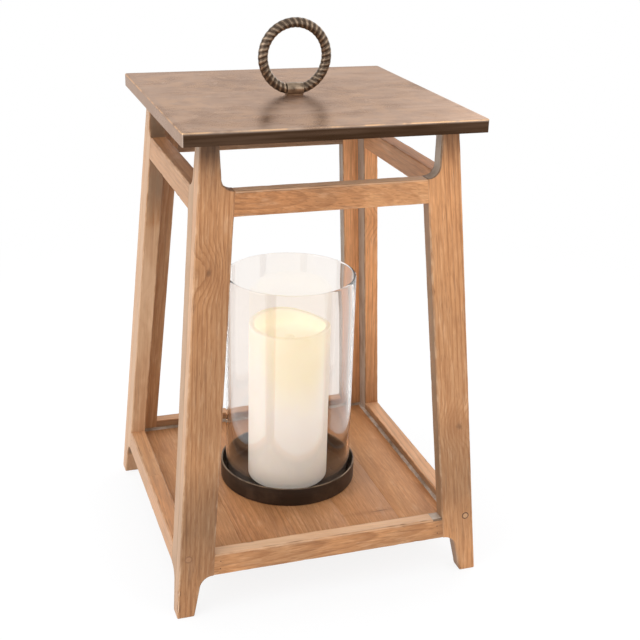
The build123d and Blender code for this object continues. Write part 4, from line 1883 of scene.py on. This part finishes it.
@dataclass
class Pan:
    """Shallow dark pan on the floor."""

    coat: Material
    radius: float = 64.5 * MM
    base: float = 46 * MM
    height: float = 18.4 * MM
    wall: float = 1.5 * MM
    floor: float = 1.2 * MM
    corner: float = 1.8 * MM
    lip: float = 0.55 * MM
    screw_hole: float = 1.8 * MM
    segments: int = 160

    def build(self) -> None:
        """Make the pan."""
        outer, inner, hole = self.radius, self.radius - self.wall, self.screw_hole
        base, low, top = self.base, self.base + self.floor, self.base + self.height
        outline = [
            (hole, base),
            (outer * 0.5, base),
            (outer, base, self.corner, 4),
            (outer, top, self.lip, 3),
            (inner, top, self.lip, 3),
            (inner, low, self.corner, 4),
            (inner * 0.5, low),
            (hole, low),
        ]
        piece = skin("candle_pan_turned", turned(outline, self.segments), self.coat)
        settle(piece, "dark_bronze_pan", "candle_pan")


@dataclass
class Glass:
    """Open glass cylinder in the pan."""

    glass: Material
    radius: float = 60 * MM
    wall: float = 2.6 * MM
    base: float = 47.2 * MM
    height: float = 206 * MM
    lip: float = 1.15 * MM
    crease: float = 60.0
    segments: int = 480
    rows: tuple[float, ...] = (0.1, 0.3, 0.5, 0.7, 0.9)

    def build(self) -> None:
        """Make the cylinder with fire-polished rims."""
        outer, inner, base, top = self.radius, self.radius - self.wall, self.base, self.base + self.height
        heights = [base + share * self.height for share in self.rows]
        outline = [(inner, base, self.lip, 5), (outer, base, self.lip, 5), *[(outer, z) for z in heights]]
        outline += [(outer, top, self.lip, 5), (inner, top, self.lip, 5)]
        outline += [(inner, z) for z in reversed(heights)]
        piece = skin("glass_cylinder_blown", turned(outline, self.segments), self.glass, self.crease)
        settle(piece, "clear_glass", "glass_cylinder", body=Body.GLASS)


@dataclass
class Candle:
    """Wax pillar with a raised lip, and the lamp unit inside it."""

    wax: Material
    lamp: Material
    plastic: Material
    switch: Material
    cell: Material
    radius: float = 38.1 * MM
    base: float = 47.2 * MM
    rim: float = 204.2 * MM
    rim_round: float = 1.9 * MM
    lip: float = 1.8 * MM
    lip_angle: float = math.radians(112)
    wall: float = 5 * MM
    well: float = 184.2 * MM
    well_radius: float = 7 * MM
    well_flat: float = 18 * MM
    foot: float = 2.5 * MM
    bore: float = 30 * MM
    bore_top: float = 147.2 * MM
    lamp_hole: float = 6.2 * MM
    sway: float = 0.5 * MM
    dip: float = 2.6 * MM
    dip_angle: float = math.radians(35)
    crease: float = 50.0
    segments: int = 160

    def lift(self, x: float, y: float, z: float) -> float:
        """Height that the lip adds near the rim, less what has melted away.

        Args:
            x: Place across.
            y: Place in depth.
            z: Height on the straight candle.

        Returns:
            The height to add.
        """
        low = self.well + self.well_radius
        share = max(0.0, min(1.0, (z - low) / (self.rim - low)))
        way = (x * math.cos(self.lip_angle) + y * math.sin(self.lip_angle)) / self.radius
        way = max(0.0, min(1.0, way))
        waver = noise.noise(Vector((x * 42, y * 42, 1.7)))
        dip = max(0.0, (x * math.cos(self.dip_angle) + y * math.sin(self.dip_angle)) / self.radius)
        rise = self.lip * way * way * (3 - 2 * way) - self.dip * dip**3
        return share * (rise + self.sway * (waver - 0.6) * (1 - way))

    def outline(self) -> Outline:
        """Section of the wax, from the bore over the rim into the well.

        Returns:
            The points of the section.
        """
        outer, inner, rim = self.radius, self.radius - self.wall, self.rim
        return [
            (self.bore, self.base),
            (outer, self.base, self.foot, 5),
            *[(outer, z) for z in spaced(self.base + 8 * MM, rim - 4 * MM, 9 * MM)],
            (outer, rim, self.rim_round, 5),
            (inner, rim, self.rim_round, 5),
            (inner, rim - 5 * MM),
            (inner, rim - 9 * MM),
            (inner, self.well, self.well_radius, 6),
            (self.well_flat, self.well),
            (self.lamp_hole, self.well),
            (self.lamp_hole, self.bore_top),
            (self.bore, self.bore_top),
        ]

    def build(self) -> None:
        """Make the wax and the lamp, and paint the pieces inside."""
        rings = turned(self.outline(), self.segments, self.lift)
        body = skin("candle_wax_body", rings, self.wax, self.crease)
        settle(body, "ivory_wax", "candle_wax", body=Body.CANDLE)
        nose = smooth_copy("led_lamp", "led_lamp_nose", self.lamp)
        settle(nose, "lamp_plastic", "led_lamp", body=Body.CANDLE)
        paint(self.plastic, "candle_insert", "battery_door")
        paint(self.switch, "candle_switch")
        paint(self.cell, "battery_left", "battery_right")


# Studio


@dataclass(frozen=True)
class Softbox:
    """Rectangular studio lamp."""

    name: str
    place: tuple[float, float, float]
    aim: tuple[float, float, float]
    size: tuple[float, float]
    watts: float
    colour: Colour

    def build(self) -> None:
        """Hang the lamp."""
        light = bpy.data.lights.new(self.name, "AREA")
        light.shape = "RECTANGLE"
        light.size, light.size_y = self.size
        light.energy = self.watts
        light.color = self.colour
        lamp = linked(self.name, light)
        lamp.location = self.place
        way = Vector(self.aim) - Vector(self.place)
        lamp.rotation_euler = way.to_track_quat("-Z", "Y").to_euler()
        log.info("%s: %.1f W", self.name, self.watts)


@dataclass
class Studio:
    """Pale floor, soft light, white surroundings and the camera."""

    lamps: tuple[Softbox, ...] = (
        Softbox("softbox_left", (-1.35, -0.45, 0.85), (0, 0, 0.2), (1.3, 1.9), 10.5, (0.97, 0.985, 1.0)),
        Softbox("softbox_right", (0.85, -1.45, 0.80), (0, 0, 0.2), (0.6, 1.1), 2.5, (1.0, 0.985, 0.96)),
        Softbox("softbox_rear", (1.25, 0.95, 0.95), (0, 0, 0.2), (1.3, 1.9), 7.0, (1.0, 0.995, 0.985)),
    )
    ambient: float = 0.86
    azimuth: float = math.radians(19.02)
    elevation: float = math.radians(22.05)
    roll: float = math.radians(1.67)
    distance: float = 1078.14 * MM
    target: tuple[float, float, float] = (29.46 * MM, 0.0, 203.89 * MM)
    lens: float = 64.70
    sensor: float = 36.0
    floor_half: float = 6.0
    floor_drop: float = 0.15 * MM

    def build_floor(self) -> None:
        """Lay the floor just under the feet."""
        draft = bmesh.new()
        bmesh.ops.create_grid(draft, x_segments=2, y_segments=2, size=self.floor_half)
        bmesh.ops.translate(draft, verts=draft.verts, vec=(0, 0, -self.floor_drop))
        mesh = bpy.data.meshes.new("studio_floor")
        draft.to_mesh(mesh)
        draft.free()
        mesh.materials.append(GroundFinish().build())
        ground = linked("studio_floor", mesh)

    def build_world(self) -> None:
        """White surroundings for what is seen, and a dimmer even light for what is lit."""
        world = bpy.data.worlds.new("studio")
        world.use_nodes = True
        bpy.context.scene.world = world
        g = NodeBuilder(world.node_tree)
        strength = self.ambient + g.rays(*SEEN_RAYS) * (1.0 - self.ambient)
        background = g.add("ShaderNodeBackground", {"Color": WHITE, "Strength": strength})
        g.end("ShaderNodeOutputWorld", background)

    def build_camera(self) -> None:
        """Set the camera at the photograph's viewing angle."""
        az, el = self.azimuth, self.elevation
        back = Vector((-math.sin(az) * math.cos(el), -math.cos(az) * math.cos(el), math.sin(el)))
        right = (-back).cross(Vector((0, 0, 1))).normalized()
        up = right.cross(-back)
        rolled = right * math.cos(self.roll) + up * math.sin(self.roll)
        risen = up * math.cos(self.roll) - right * math.sin(self.roll)
        data = bpy.data.cameras.new("camera")
        data.lens, data.sensor_width = self.lens, self.sensor
        data.clip_start, data.clip_end = 0.01, 50.0
        camera = linked("camera", data)
        turn = Matrix((rolled, risen, back)).transposed().to_4x4()
        camera.matrix_world = Matrix.Translation(Vector(self.target) + back * self.distance) @ turn
        bpy.context.scene.camera = camera

    def build(self) -> None:
        """Set up the whole studio."""
        self.build_floor()
        self.build_world()
        for lamp in self.lamps:
            lamp.build()
        self.build_camera()
        bpy.context.scene.view_settings.view_transform = "Standard"


def main() -> None:
    """Build the lantern's pieces in order, then the studio."""
    logging.basicConfig(level=logging.INFO, format="%(name)s: %(message)s")
    splay = Splay()
    wood = WoodFinish().build()
    bronze = CastBronzeFinish().build()
    rubbed = CastBronzeFinish("rubbed_bronze", rub=1.0).build()
    steel = PlainFinish("zinc_steel", (0.55, 0.55, 0.54), (0.42, 0.42, 0.41), 0.95, 0.36).build()
    filler = PlainFinish("grey_filler", (0.60, 0.50, 0.42), (0.28, 0.20, 0.14), 0.0, 0.8, 0.0, 60.0).build()
    plug = PlugFinish("old_plug", (0.42, 0.21, 0.10), (0.34, 0.16, 0.07), (0.27, 0.125, 0.055)).build()
    fresh = PlugFinish("fresh_plug", (0.60, 0.34, 0.17), (0.40, 0.17, 0.07), (0.10, 0.045, 0.02)).build()
    brad = PlainFinish("dark_brad", (0.14, 0.08, 0.045), (0.08, 0.045, 0.027), 0.5, 0.5).build()
    lens = PlainFinish("lamp_lens", (0.93, 0.86, 0.62), (0.95, 0.88, 0.68), 0.0, 0.4, 0.3).build()
    plastic = PlainFinish("moulded_plastic", (0.80, 0.785, 0.74), (0.74, 0.725, 0.68), 0.0, 0.42).build()
    switch = PlainFinish("switch_plastic", (0.05, 0.05, 0.05), (0.08, 0.08, 0.08), 0.0, 0.5).build()
    cell = PlainFinish("battery_can", (0.25, 0.26, 0.28), (0.18, 0.19, 0.2), 0.6, 0.35).build()

    Legs(splay, wood).build()
    Rails(splay, wood).build()
    Floor(splay, wood, filler).build()
    Fixings(splay, plug, fresh, brad).build()
    Top(SheetFinish().build(), wood, rubbed, steel).build()
    CarryingRing(bronze).build()
    Pan(PanFinish().build()).build()
    Glass(GlassFinish().build()).build()
    Candle(WaxFinish().build(), lens, plastic, switch, cell).build()
    for corner in Corner:
        paint(steel, f"leg_screw_{corner.label}", f"top_screw_{corner.label}")
    paint(steel, "pan_screw")
    Studio().build()


if __name__ == "__main__":
    main()
